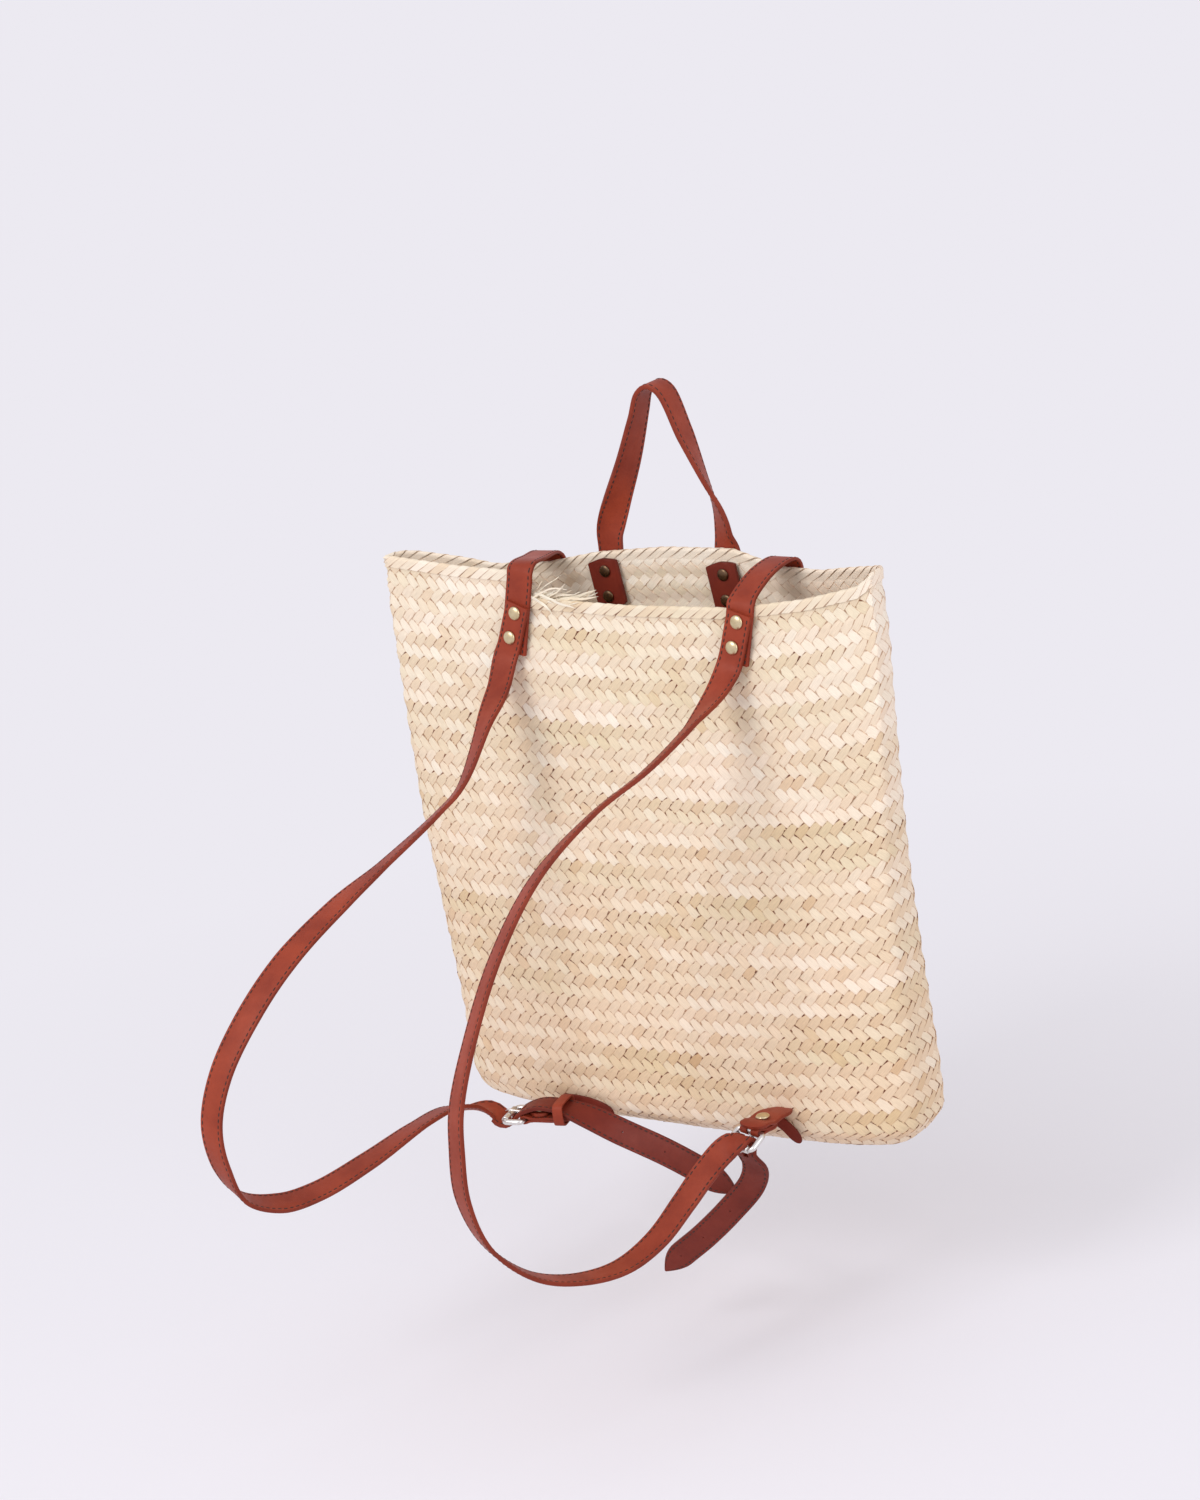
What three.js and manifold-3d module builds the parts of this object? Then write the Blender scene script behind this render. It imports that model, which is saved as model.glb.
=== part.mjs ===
import * as THREE from "three";
import { mergeVertices } from "three/addons/utils/BufferGeometryUtils.js";
import Module from "manifold-3d";

// A straw backpack that hangs from its carry handle. All sizes are in millimetres.
// +Z is up, the shoulder straps are on the near panel at -Y and the carry handle is on the far panel at +Y.
// Heights are measured from the underside of the base, and the finished group is then moved
// so that its origin lies under the top of the handle.

// Basket
const BASKET_HEIGHT = 420;
const RIM_WIDTH = 428;
const BASE_WIDTH = 390;
const BASE_HALF_DEPTH = 50.5;
const FAR_RIM_DEPTH = 57;
const NEAR_RIM_DEPTH = 0;
const BASE_SQUARENESS = 3.9;
const RIM_SQUARENESS = 3;
const BASE_EDGE_RADIUS = 25;
const WALL = 5;
const SIDE_LEAN = 6;
const POINTS_PER_PANEL = 28;
const WALL_LEVELS = 7;
// The rim as pairs: share of the half width, and drop below the basket's height.
// The step beside the left strap is where the plait ends.
const NEAR_RIM = [
  [-1, -1], [-0.7, 7], [-0.42, 10], [-0.374, 29], [0, 32], [0.444, 31], [0.724, 23], [0.935, 12], [1, 0],
];
const FAR_RIM = [
  [-1, -1], [-0.91, 8], [-0.7, 19], [-0.49, 18], [-0.285, 10], [0, 5],
  [0.276, 5], [0.463, 17], [0.64, 18], [0.888, 10], [1, 0],
];

// Fits
const SEAT_GAP = 0.3;
const HOLE_CLEARANCE = 0.3;
const CUT_GAP = 0.5;

// Rivets
const CAP_RADIUS = 5;
const CAP_HEIGHT = 2.2;
const SHANK_RADIUS = 2;
const BURR_RADIUS = 4.5;
const BURR_HEIGHT = 1.6;
const RIVET_SEGMENTS = 12;

// Leather
const STRAP_WIDTH = 20;
const STRAP_THICKNESS = 3;
const BAND_WIDTH = 22;
const BAND_THICKNESS = 2.5;
const HANDLE_WIDTH = 21;
const HANDLE_THICKNESS = 3.5;
const TAB_WIDTH = 26;
const TAB_LENGTH = 38;
const TAB_THICKNESS = 2.5;
const TAB_CORNER = 5;

// Shoulder straps
const STRAP_X = 97;
const STRAP_TOP_DROP = 32;
// The straps and the bands under them lean to the left on their way down: sideways for each millimetre.
const STRAP_LEAN = { left: 0.36, right: 0.3 };
const BAND_LEAN = 0.2;
const STRAP_TOP = BASKET_HEIGHT - STRAP_TOP_DROP;
const STRAP_RIVET_DROPS = [6, 24];
const STRAP_RIVET_HEIGHTS = STRAP_RIVET_DROPS.map((drop) => STRAP_TOP - drop);
const STRAP_SEAT_LENGTH = 30;
const STRAP_BEND_LENGTH = 9;
const STRAP_BEND_LIFT = 2;
const BAND_OVERLAP = 36;
const BAND_BOTTOM = STRAP_TOP - BAND_OVERLAP;
const BAND_FAR_X = 104;
const BAND_FAR_DROP = 64;
const BAND_FAR_BOTTOM = BASKET_HEIGHT - BAND_FAR_DROP;
const BAND_FAR_RIVET_RISES = [27, 10];
const BAND_FAR_RIVET_HEIGHTS = BAND_FAR_RIVET_RISES.map((rise) => BAND_FAR_BOTTOM + rise);
const BAND_CROWN_DROP = { left: 6, right: 11 };
// Where each strap is cut, and a place above the cut: across, back from the buckles' pivots,
// and below the basket's height.
const STRAP_CUT = {
  left: { x: -98, back: 12, drop: 106 },
  right: { x: 87, back: 8, drop: 96 },
};
const ABOVE_CUT = {
  left: { x: -104, back: 43, drop: 87 },
  right: { x: 88, back: 41, drop: 83 },
};
const LOOP_TURN = 20;

// Carry handle
const HANDLE_X = 52;
const HANDLE_FOOT_LENGTH = 52;
const HANDLE_FOOT_BOTTOM = BASKET_HEIGHT - HANDLE_FOOT_LENGTH;
const HANDLE_RIVET_DROPS = [22, 41];
const HANDLE_RIVET_HEIGHTS = HANDLE_RIVET_DROPS.map((drop) => BASKET_HEIGHT - drop);
const TAB_DROP = 13;
const TAB_TOP = BASKET_HEIGHT - TAB_DROP;
const HANDLE_HINGE_HEIGHT = BASKET_HEIGHT;
const HANDLE_TOP_X = 8;
const HANDLE_RISE = 115;
const HANDLE_TOP = HANDLE_HINGE_HEIGHT + HANDLE_RISE;

// Buckles, and the leather chapes that hold them
const PIVOT_REACH = 21.5;
const PIVOT_Y = -BASE_HALF_DEPTH - PIVOT_REACH;
const CHAPE_WIDTH = 19;
const CHAPE_THICKNESS = 4;
const CHAPE_FOLD_RADIUS = 3.6;
const ANCHOR_THICKNESS = 2.5;
const ANCHOR_WIDTH = 14;
const ANCHOR_HEAD_WIDTH = 28;
const ANCHOR_HEAD_LENGTH = 8;
const ANCHOR_WING_WIDTH = 4;
const HEEL_DISTANCE = 11.4;
const HEEL_TO_ROLLER = 15;
const HEEL_BAR_RADIUS = 1.5;
const ROLLER_BAR_RADIUS = 1.5;
const ROLLER_RADIUS = 2.7;
const ROLLER_LENGTH = 21;
const FRAME_INNER_WIDTH = 23;
const FRAME_SIDE_WIDTH = 3.2;
const FRAME_SIDE_THICKNESS = 3.6;
const PRONG_WIDTH = 2.6;
const PRONG_THICKNESS = 2;
const PRONG_RING_WIDTH = 4;
const PRONG_RING_RADIUS = 3;
const PRONG_OVERHANG = 3;
const PRONG_SLOT_WIDTH = 5;
const STRAP_SLOT_LENGTH = 14.4;
const KEEPER_LENGTH = 10;
const KEEPER_THICKNESS = 2;
const KEEPER_DISTANCE = 18;
const KEEPER_OPENING = 13.6;
const TAIL_HOLE_RADIUS = 1.8;
const TAIL_TIP_LENGTH = 16;

const wasm = await Module();
wasm.setup();

const LEATHER = { color: 0x9a4638, roughness: 0.55, metalness: 0 };
const STRAW = { color: 0xe6d3b3, roughness: 0.85, metalness: 0 };
const BRASS = { color: 0xc9b184, roughness: 0.35, metalness: 1 };
const BRONZE = { color: 0x4a3a2c, roughness: 0.4, metalness: 1 };
const NICKEL = { color: 0xc8c6c6, roughness: 0.25, metalness: 1 };

const bag = new THREE.Group();
bag.name = "straw_backpack";

function vec(x, y, z) {
  return new THREE.Vector3(x, y, z);
}

function addPart(name, geometry, look) {
  const mesh = new THREE.Mesh(geometry, new THREE.MeshStandardMaterial(look));
  mesh.name = name;
  bag.add(mesh);
  return mesh;
}

// Solids and booleans

function toSolid(geometry) {
  const bare = geometry.clone();
  bare.deleteAttribute("normal");
  bare.deleteAttribute("uv");
  const merged = mergeVertices(bare, 1e-4);
  return new wasm.Manifold(
    new wasm.Mesh({
      numProp: 3,
      vertProperties: new Float32Array(merged.attributes.position.array),
      triVerts: new Uint32Array(merged.index.array),
    }),
  );
}

function toGeometry(solid) {
  const mesh = solid.getMesh();
  const geometry = new THREE.BufferGeometry();
  geometry.setAttribute("position", new THREE.BufferAttribute(mesh.vertProperties, 3));
  geometry.setIndex(new THREE.BufferAttribute(mesh.triVerts, 1));
  geometry.computeVertexNormals();
  return geometry;
}

function without(geometry, cutters) {
  let solid = toSolid(geometry);
  for (const cutter of cutters) solid = solid.subtract(toSolid(cutter));
  return toGeometry(solid);
}

function joined(pieces) {
  let solid = toSolid(pieces[0]);
  for (const piece of pieces.slice(1)) solid = solid.add(toSolid(piece));
  return toGeometry(solid);
}

function common(first, second) {
  return toGeometry(toSolid(first).intersect(toSolid(second)));
}

// A closed body through rings that all hold the same number of points, with flat ends.
function bodyFromRings(rings) {
  const count = rings[0].length;
  const positions = rings.flat().flatMap((p) => [p.x, p.y, p.z]);
  const index = [];
  for (let r = 0; r + 1 < rings.length; r++) {
    for (let i = 0; i < count; i++) {
      const a = r * count + i;
      const b = r * count + ((i + 1) % count);
      index.push(a, b, a + count, b, b + count, a + count);
    }
  }
  const last = (rings.length - 1) * count;
  for (let i = 1; i + 1 < count; i++) {
    index.push(0, i + 1, i);
    index.push(last, last + i, last + i + 1);
  }
  const geometry = new THREE.BufferGeometry();
  geometry.setAttribute("position", new THREE.Float32BufferAttribute(positions, 3));
  geometry.setIndex(index);
  if (signedVolume(geometry) < 0) index.reverse();
  geometry.setIndex(index);
  geometry.computeVertexNormals();
  return geometry;
}

function signedVolume(geometry) {
  const points = geometry.attributes.position;
  const a = new THREE.Vector3();
  const b = new THREE.Vector3();
  const c = new THREE.Vector3();
  let volume = 0;
  for (let i = 0; i < geometry.index.count; i += 3) {
    a.fromBufferAttribute(points, geometry.index.getX(i));
    b.fromBufferAttribute(points, geometry.index.getX(i + 1));
    c.fromBufferAttribute(points, geometry.index.getX(i + 2));
    volume += a.dot(b.cross(c));
  }
  return volume;
}

// A flat plan shape, thickened upwards and set into a frame of three axes.
function plate(shape, thickness, frame, segments = 6) {
  const geometry = new THREE.ExtrudeGeometry(shape, {
    depth: thickness,
    bevelEnabled: false,
    curveSegments: segments,
  });
  return geometry.applyMatrix4(frame);
}

function frameOf(xAxis, yAxis, zAxis, origin) {
  return new THREE.Matrix4().makeBasis(xAxis, yAxis, zAxis).setPosition(origin);
}

function cylinder(radius, from, to, segments = 12) {
  const along = to.clone().sub(from);
  const geometry = new THREE.CylinderGeometry(radius, radius, along.length(), segments);
  const turn = new THREE.Quaternion().setFromUnitVectors(vec(0, 1, 0), along.clone().normalize());
  geometry.applyQuaternion(turn);
  const middle = from.clone().add(to).multiplyScalar(0.5);
  return geometry.translate(middle.x, middle.y, middle.z);
}

function box(sizeX, sizeY, sizeZ, frame) {
  return new THREE.BoxGeometry(sizeX, sizeY, sizeZ).applyMatrix4(frame);
}

// Basket shape

function readProfile(profile, x) {
  if (x <= profile[0][0]) return profile[0][1];
  for (let i = 1; i < profile.length; i++) {
    const [x0, value0] = profile[i - 1];
    const [x1, value1] = profile[i];
    if (x <= x1) return THREE.MathUtils.lerp(value0, value1, (x - x0) / (x1 - x0));
  }
  return profile.at(-1)[1];
}

function rimHeight(share, side) {
  return BASKET_HEIGHT - readProfile(side < 0 ? NEAR_RIM : FAR_RIM, share);
}

function halfWidth(z) {
  return THREE.MathUtils.lerp(BASE_WIDTH, RIM_WIDTH, z / BASKET_HEIGHT) / 2;
}

function depth(z, side) {
  const rimDepth = side < 0 ? NEAR_RIM_DEPTH : FAR_RIM_DEPTH;
  return THREE.MathUtils.lerp(BASE_HALF_DEPTH, rimDepth, z / BASKET_HEIGHT);
}

// Share of the panel's depth that is reached at a share of its half width.
function roundShare(share, z) {
  const power = THREE.MathUtils.lerp(BASE_SQUARENESS, RIM_SQUARENESS, z / BASKET_HEIGHT);
  return Math.max(0, 1 - Math.abs(share) ** power) ** (1 / power);
}

// How far the rounded base edge draws the wall in at a height above the floor of that edge.
function edgeInset(height, radius) {
  if (height >= radius) return 0;
  return radius - Math.sqrt(radius * radius - (radius - height) ** 2);
}

// The soft basket leans towards -X between its base and its rim.
function lean(z) {
  return -SIDE_LEAN * Math.sin((Math.PI * z) / BASKET_HEIGHT);
}

function wallPoint(share, z, side, inset) {
  const y = side * (depth(z, side) - inset) * roundShare(share, z);
  return vec(lean(z) + share * (halfWidth(z) - inset), y, z);
}

function outerWallY(x, z, side) {
  const inset = edgeInset(z, BASE_EDGE_RADIUS);
  return wallPoint((x - lean(z)) / (halfWidth(z) - inset), z, side, inset).y;
}

function innerWallY(x, z, side) {
  const inset = WALL + edgeInset(z - WALL, BASE_EDGE_RADIUS - WALL);
  return wallPoint((x - lean(z)) / (halfWidth(z) - inset), z, side, inset).y;
}

// A place on the outside of a panel: out is away from the wall, up is along it.
function wallPlace(x, z, side) {
  const step = 2;
  const up = vec(0, outerWallY(x, z + step, side) - outerWallY(x, z - step, side), 2 * step).normalize();
  const slope = (outerWallY(x + step, z, side) - outerWallY(x - step, z, side)) / (2 * step);
  const across = vec(1, slope, 0).normalize();
  const out = vec(0, 0, 0).crossVectors(across, up).multiplyScalar(-side).normalize();
  if (out.y * side < 0) out.negate();
  return { point: vec(x, outerWallY(x, z, side), z), out, up, across };
}

function offWall(x, z, side, distance) {
  const place = wallPlace(x, z, side);
  return place.point.addScaledVector(place.out, distance);
}

function basketRing(levelOf, insetOf) {
  const ring = [];
  for (let i = 0; i < 2 * POINTS_PER_PANEL; i++) {
    const share = Math.cos((Math.PI * i) / POINTS_PER_PANEL);
    const side = i < POINTS_PER_PANEL ? 1 : -1;
    const z = levelOf(rimHeight(share, side));
    ring.push(wallPoint(share, z, side, insetOf(z)));
  }
  return ring;
}

function basketBody() {
  const rings = [];
  const innerRadius = BASE_EDGE_RADIUS - WALL;
  for (const angle of [0, 30, 60]) {
    const z = BASE_EDGE_RADIUS * (1 - Math.cos(THREE.MathUtils.degToRad(angle)));
    rings.push(basketRing(() => z, () => edgeInset(z, BASE_EDGE_RADIUS)));
  }
  for (let k = 0; k <= WALL_LEVELS; k++) {
    const part = k / WALL_LEVELS;
    rings.push(basketRing((rim) => THREE.MathUtils.lerp(BASE_EDGE_RADIUS, rim, part), () => 0));
  }
  for (let k = WALL_LEVELS; k >= 0; k--) {
    const part = k / WALL_LEVELS;
    rings.push(basketRing((rim) => THREE.MathUtils.lerp(BASE_EDGE_RADIUS, rim, part), () => WALL));
  }
  for (const angle of [60, 30, 0]) {
    const height = innerRadius * (1 - Math.cos(THREE.MathUtils.degToRad(angle)));
    rings.push(basketRing(() => WALL + height, () => WALL + edgeInset(height, innerRadius)));
  }
  return bodyFromRings(rings);
}

// Rivets: the axis runs from the burr inside to the cap outside.

function rivet(burrSeat, capSeat) {
  const axis = capSeat.clone().sub(burrSeat);
  const grip = axis.length();
  const profile = [
    new THREE.Vector2(0, -BURR_HEIGHT),
    new THREE.Vector2(BURR_RADIUS * 0.7, -BURR_HEIGHT),
    new THREE.Vector2(BURR_RADIUS, 0),
    new THREE.Vector2(SHANK_RADIUS, 0),
    new THREE.Vector2(SHANK_RADIUS, grip),
    new THREE.Vector2(CAP_RADIUS, grip),
    new THREE.Vector2(CAP_RADIUS * 0.75, grip + CAP_HEIGHT * 0.7),
    new THREE.Vector2(0, grip + CAP_HEIGHT),
  ];
  const geometry = new THREE.LatheGeometry(profile, RIVET_SEGMENTS);
  geometry.applyQuaternion(new THREE.Quaternion().setFromUnitVectors(vec(0, 1, 0), axis.normalize()));
  return geometry.translate(burrSeat.x, burrSeat.y, burrSeat.z);
}

// The hole that a rivet needs, long enough to pass every layer.
function rivetHole(burrSeat, capSeat) {
  const axis = capSeat.clone().sub(burrSeat).normalize();
  const from = burrSeat.clone().addScaledVector(axis, -4);
  const to = capSeat.clone().addScaledVector(axis, 4);
  return cylinder(SHANK_RADIUS + HOLE_CLEARANCE, from, to, 10);
}

// Seats of a rivet through a wall, with layers of leather outside and inside it.
function wallRivetSeats(x, z, side, outside, inside) {
  const place = wallPlace(x, z, side);
  return {
    cap: place.point.clone().addScaledVector(place.out, outside + SEAT_GAP),
    burr: place.point.clone().addScaledVector(place.out, -(WALL + inside + 2 * SEAT_GAP)),
  };
}

// Leather strips: each row holds a point and the direction across the strip there.

function strip(rows, width, thickness, stepsPerRow) {
  const curve = new THREE.CatmullRomCurve3(rows.map((row) => row.point), false, "centripetal");
  const spans = rows.length - 1;
  const rings = [];
  for (let i = 0; i <= spans * stepsPerRow; i++) {
    const place = Math.min(i / stepsPerRow, spans);
    const row = Math.min(Math.floor(place), spans - 1);
    const along = curve.getTangent(place / spans);
    const across = rows[row].across.clone().lerp(rows[row + 1].across, place - row);
    across.addScaledVector(along, -across.dot(along)).normalize();
    const out = vec(0, 0, 0).crossVectors(along, across);
    const point = curve.getPoint(place / spans);
    const corner = (w, t) =>
      point.clone().addScaledVector(across, (w * width) / 2).addScaledVector(out, (t * thickness) / 2);
    rings.push([corner(-1, -1), corner(1, -1), corner(1, 1), corner(-1, 1)]);
  }
  return bodyFromRings(rings);
}

function row(point, across) {
  return { point, across };
}

// Bridge bands: from under the strap, over the near rim, across the mouth and over the far rim.

const bandOffset = SEAT_GAP + BAND_THICKNESS / 2;
const strapOffset = 2 * SEAT_GAP + BAND_THICKNESS + STRAP_THICKNESS / 2;
const strapStack = 2 * SEAT_GAP + BAND_THICKNESS + STRAP_THICKNESS;
const bandStack = SEAT_GAP + BAND_THICKNESS;

// The rim's highest place under the width of a band.
function highestRim(x, side) {
  const edges = [-1, 0, 1].map((edge) => x + (edge * BAND_WIDTH) / 2);
  return Math.max(...edges.map((edge) => rimHeight(edge / (RIM_WIDTH / 2), side)));
}

// Sideways place of a strap or band on the near panel, which leans about the middle of the strap's rivets.
function leaningX(hand, z, lean) {
  const middle = (STRAP_RIVET_HEIGHTS[0] + STRAP_RIVET_HEIGHTS[1]) / 2;
  return hand * STRAP_X + lean * (z - middle);
}

// Direction across a strap or band that leans on the near panel.
function leaningAcross(x, z, lean) {
  const place = wallPlace(x, z, -1);
  return place.across.clone().addScaledVector(place.up, -lean);
}

function bandBody(hand, crown) {
  const nearX = (z) => leaningX(hand, z, BAND_LEAN);
  const nearRim = highestRim(nearX(BASKET_HEIGHT), -1);
  const farX = hand * BAND_FAR_X;
  const level = vec(1, 0, 0);
  const farRim = highestRim(farX, 1);
  const nearTop = offWall(nearX(nearRim), nearRim, -1, bandOffset);
  const farTop = offWall(farX, farRim, 1, bandOffset);
  const onNear = (z) => row(offWall(nearX(z), z, -1, bandOffset), leaningAcross(nearX(z), z, BAND_LEAN));
  const onFar = (z) => row(offWall(farX, z, 1, bandOffset), wallPlace(farX, z, 1).across);
  const rows = [
    onNear(BAND_BOTTOM),
    onNear((BAND_BOTTOM + nearRim) / 2),
    onNear(nearRim - 4),
    row(nearTop.clone().add(vec(0, 0.2, 1.5)), leaningAcross(nearTop.x, nearRim, BAND_LEAN)),
    row(nearTop.clone().add(vec(0, 4, 5)), level),
    row(vec((nearTop.x + farX) / 2, (nearTop.y + farTop.y) / 2, crown), level),
    row(farTop.clone().add(vec(0, -4.5, 6)), wallPlace(farX, farRim, 1).across),
    row(farTop.clone().add(vec(0, 1, 0)), wallPlace(farX, farRim, 1).across),
    onFar(farRim - 12),
    onFar((BAND_FAR_BOTTOM + farRim) / 2 - 6),
    onFar(BAND_FAR_BOTTOM),
  ];
  return strip(rows, BAND_WIDTH, BAND_THICKNESS, 3);
}

// Carry handle: two riveted feet on the far panel and the loop that folds over above them.

const handleOffset = SEAT_GAP + HANDLE_THICKNESS / 2;
const handleStack = SEAT_GAP + HANDLE_THICKNESS;
const hingeY = offWall(HANDLE_X, HANDLE_HINGE_HEIGHT, 1, handleOffset).y;

function handleFootBody(hand) {
  const x = hand * HANDLE_X;
  const low = offWall(x, HANDLE_FOOT_BOTTOM, 1, handleOffset);
  const high = vec(x, hingeY, HANDLE_HINGE_HEIGHT - HANDLE_THICKNESS / 2 - CUT_GAP);
  const across = vec(1, 0, 0);
  return strip([row(low, across), row(high, across)], HANDLE_WIDTH, HANDLE_THICKNESS, 3);
}

function handleLoopBody() {
  const below = (hand) => row(vec(hand * HANDLE_X, hingeY, HANDLE_HINGE_HEIGHT - 3), vec(-hand, 0, 0));
  const above = (hand) => row(vec(hand * HANDLE_X, hingeY, HANDLE_HINGE_HEIGHT + 4), vec(-hand, 0, 0));
  // A place on one leg: its shares of the way out from the top, and of the rise.
  const leg = (hand, out, rise, across) => {
    const x = THREE.MathUtils.lerp(HANDLE_TOP_X, hand * HANDLE_X, out);
    return row(vec(x, hingeY, HANDLE_HINGE_HEIGHT + rise * HANDLE_RISE), across);
  };
  const rows = [
    below(-1),
    above(-1),
    leg(-1, 0.93, 0.12, vec(1, 0.2, 0)),
    leg(-1, 0.79, 0.245, vec(0.7, 0.7, 0)),
    leg(-1, 0.517, 0.522, vec(0.4, 0.9, 0)),
    leg(-1, 0.283, 0.8, vec(0.1, 1, 0)),
    leg(-1, 0.15, 0.957, vec(0, 1, 0)),
    leg(1, 0, 1, vec(0, 1, 0)),
    leg(1, 0.205, 0.957, vec(0, 1, 0)),
    leg(1, 0.477, 0.678, vec(-0.1, 1, 0)),
    leg(1, 0.727, 0.4, vec(-0.5, 0.9, 0)),
    leg(1, 0.909, 0.209, vec(-0.9, 0.6, 0)),
    leg(1, 0.955, 0.12, vec(-0.9, 0.4, 0)),
    above(1),
    below(1),
  ];
  const loop = strip(rows, HANDLE_WIDTH, HANDLE_THICKNESS, 3);
  const pieces = [common(loop, halfSpace(HANDLE_HINGE_HEIGHT, 1000))];
  for (const hand of [-1, 1]) {
    const from = vec(hand * HANDLE_X - HANDLE_WIDTH / 2, hingeY, HANDLE_HINGE_HEIGHT);
    const to = vec(hand * HANDLE_X + HANDLE_WIDTH / 2, hingeY, HANDLE_HINGE_HEIGHT);
    pieces.push(cylinder(HANDLE_THICKNESS / 2, from, to, 10));
  }
  return joined(pieces);
}

// The tab on the inside of the far panel, under the burrs of the handle's rivets.
function handleTabBody(hand) {
  const x = hand * HANDLE_X;
  const high = wallPlace(x, TAB_TOP, 1);
  const low = wallPlace(x, TAB_TOP - TAB_LENGTH, 1);
  const centre = high.point.clone().add(low.point).multiplyScalar(0.5);
  const place = wallPlace(x, TAB_TOP - TAB_LENGTH / 2, 1);
  centre.addScaledVector(place.out, -(WALL + SEAT_GAP + TAB_THICKNESS));
  const shape = roundedRectangle(TAB_WIDTH, TAB_LENGTH, TAB_CORNER);
  const xAxis = vec(0, 0, 0).crossVectors(place.up, place.out);
  return plate(shape, TAB_THICKNESS, frameOf(xAxis, place.up, place.out, centre), 3);
}

function roundedRectangle(width, length, corner) {
  const w = width / 2;
  const l = length / 2;
  const shape = new THREE.Shape();
  shape.moveTo(-w + corner, -l);
  shape.absarc(w - corner, -l + corner, corner, -Math.PI / 2, 0);
  shape.absarc(w - corner, l - corner, corner, 0, Math.PI / 2);
  shape.absarc(-w + corner, l - corner, corner, Math.PI / 2, Math.PI);
  shape.absarc(-w + corner, -l + corner, corner, Math.PI, 1.5 * Math.PI);
  return shape;
}

// Buckle places. Each chape turns on a vertical rivet in front of the base edge.
// along points from the pivot to the heel bar, hang from the heel bar to the roller,
// and prongSide is the side of the frame on which the prong lies.
// tongue is the length of the chape behind the pivot, wing the length of the anchor along the base edge.

function buckleSide(pivotX, chapeHeight, chapeTurn, frameDrop, prongUp, tongue, wing) {
  const turn = THREE.MathUtils.degToRad(chapeTurn);
  const along = vec(Math.cos(turn), Math.sin(turn), 0);
  const drop = THREE.MathUtils.degToRad(frameDrop);
  const hang = along.clone().multiplyScalar(Math.cos(drop)).add(vec(0, 0, -Math.sin(drop)));
  const across = vec(0, 0, 0).crossVectors(vec(0, 0, 1), along);
  const pivot = vec(pivotX, PIVOT_Y, chapeHeight);
  const heel = pivot.clone().addScaledVector(along, HEEL_DISTANCE);
  const roller = heel.clone().addScaledVector(hang, HEEL_TO_ROLLER);
  const prongSide = vec(0, 0, 0).crossVectors(hang, across).normalize();
  if (prongSide.z * prongUp < 0) {
    prongSide.negate();
    across.negate();
  }
  return { pivot, along, hang, across, heel, roller, prongSide, tongue, wing };
}

const leftBuckle = buckleSide(-94, 14, 194, 0, 1, 24, 50);
const rightBuckle = buckleSide(105, 31, -106, 30, -1, CHAPE_WIDTH / 2, 24);

function fromRoller(buckle, toHeel, toProng) {
  const point = buckle.roller.clone().addScaledVector(buckle.hang, -toHeel);
  return point.addScaledVector(buckle.prongSide, toProng);
}

const anchorBase = CHAPE_THICKNESS / 2 + SEAT_GAP;

// The anchor is a flat T of leather: its head is inside the basket and its round end carries the pivot rivet.
function anchorShape(buckle) {
  const half = ANCHOR_WIDTH / 2;
  const headHalf = ANCHOR_HEAD_WIDTH / 2;
  const wallAt = (offset) => innerWallY(buckle.pivot.x + offset, buckle.pivot.z + anchorBase, -1);
  const head = Math.max(wallAt(-headHalf), wallAt(headHalf)) - PIVOT_Y + 2 * SEAT_GAP;
  const top = buckle.pivot.z + anchorBase + ANCHOR_THICKNESS;
  const outsideAt = (offset) => outerWallY(buckle.pivot.x + offset, top, -1);
  const wing = half + buckle.wing;
  const wingBack = Math.min(outsideAt(half), outsideAt(wing)) - PIVOT_Y - 2 * SEAT_GAP;
  const shape = new THREE.Shape();
  shape.absarc(0, 0, half, Math.PI, 2 * Math.PI);
  shape.lineTo(half, wingBack - ANCHOR_WING_WIDTH);
  shape.lineTo(wing, wingBack - ANCHOR_WING_WIDTH + 2);
  shape.lineTo(wing, wingBack);
  shape.lineTo(half, wingBack);
  shape.lineTo(half, head);
  shape.lineTo(headHalf, head);
  shape.lineTo(headHalf, head + ANCHOR_HEAD_LENGTH);
  shape.lineTo(-headHalf, head + ANCHOR_HEAD_LENGTH);
  shape.lineTo(-headHalf, head);
  shape.lineTo(-half, head);
  return shape;
}

function anchorFrame(buckle, height) {
  return frameOf(vec(1, 0, 0), vec(0, 1, 0), vec(0, 0, 1), buckle.pivot.clone().add(vec(0, 0, height)));
}

function anchorBody(buckle) {
  return plate(anchorShape(buckle), ANCHOR_THICKNESS, anchorFrame(buckle, anchorBase));
}

// The slit in the basket wall that the anchor's neck passes through.
function anchorSlit(buckle) {
  const centre = buckle.pivot.clone();
  centre.y = outerWallY(centre.x, centre.z, -1) + WALL / 2;
  centre.z += anchorBase + ANCHOR_THICKNESS / 2;
  const width = ANCHOR_WIDTH + 2 * HOLE_CLEARANCE;
  const tall = ANCHOR_THICKNESS + 2 * HOLE_CLEARANCE;
  return box(width, 6 * WALL, tall, frameOf(vec(1, 0, 0), vec(0, 1, 0), vec(0, 0, 1), centre));
}

function pivotRivetSeats(buckle) {
  const low = CHAPE_THICKNESS / 2 + SEAT_GAP;
  const high = anchorBase + ANCHOR_THICKNESS + SEAT_GAP;
  return {
    burr: buckle.pivot.clone().add(vec(0, 0, -low)),
    cap: buckle.pivot.clone().add(vec(0, 0, high)),
  };
}

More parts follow.
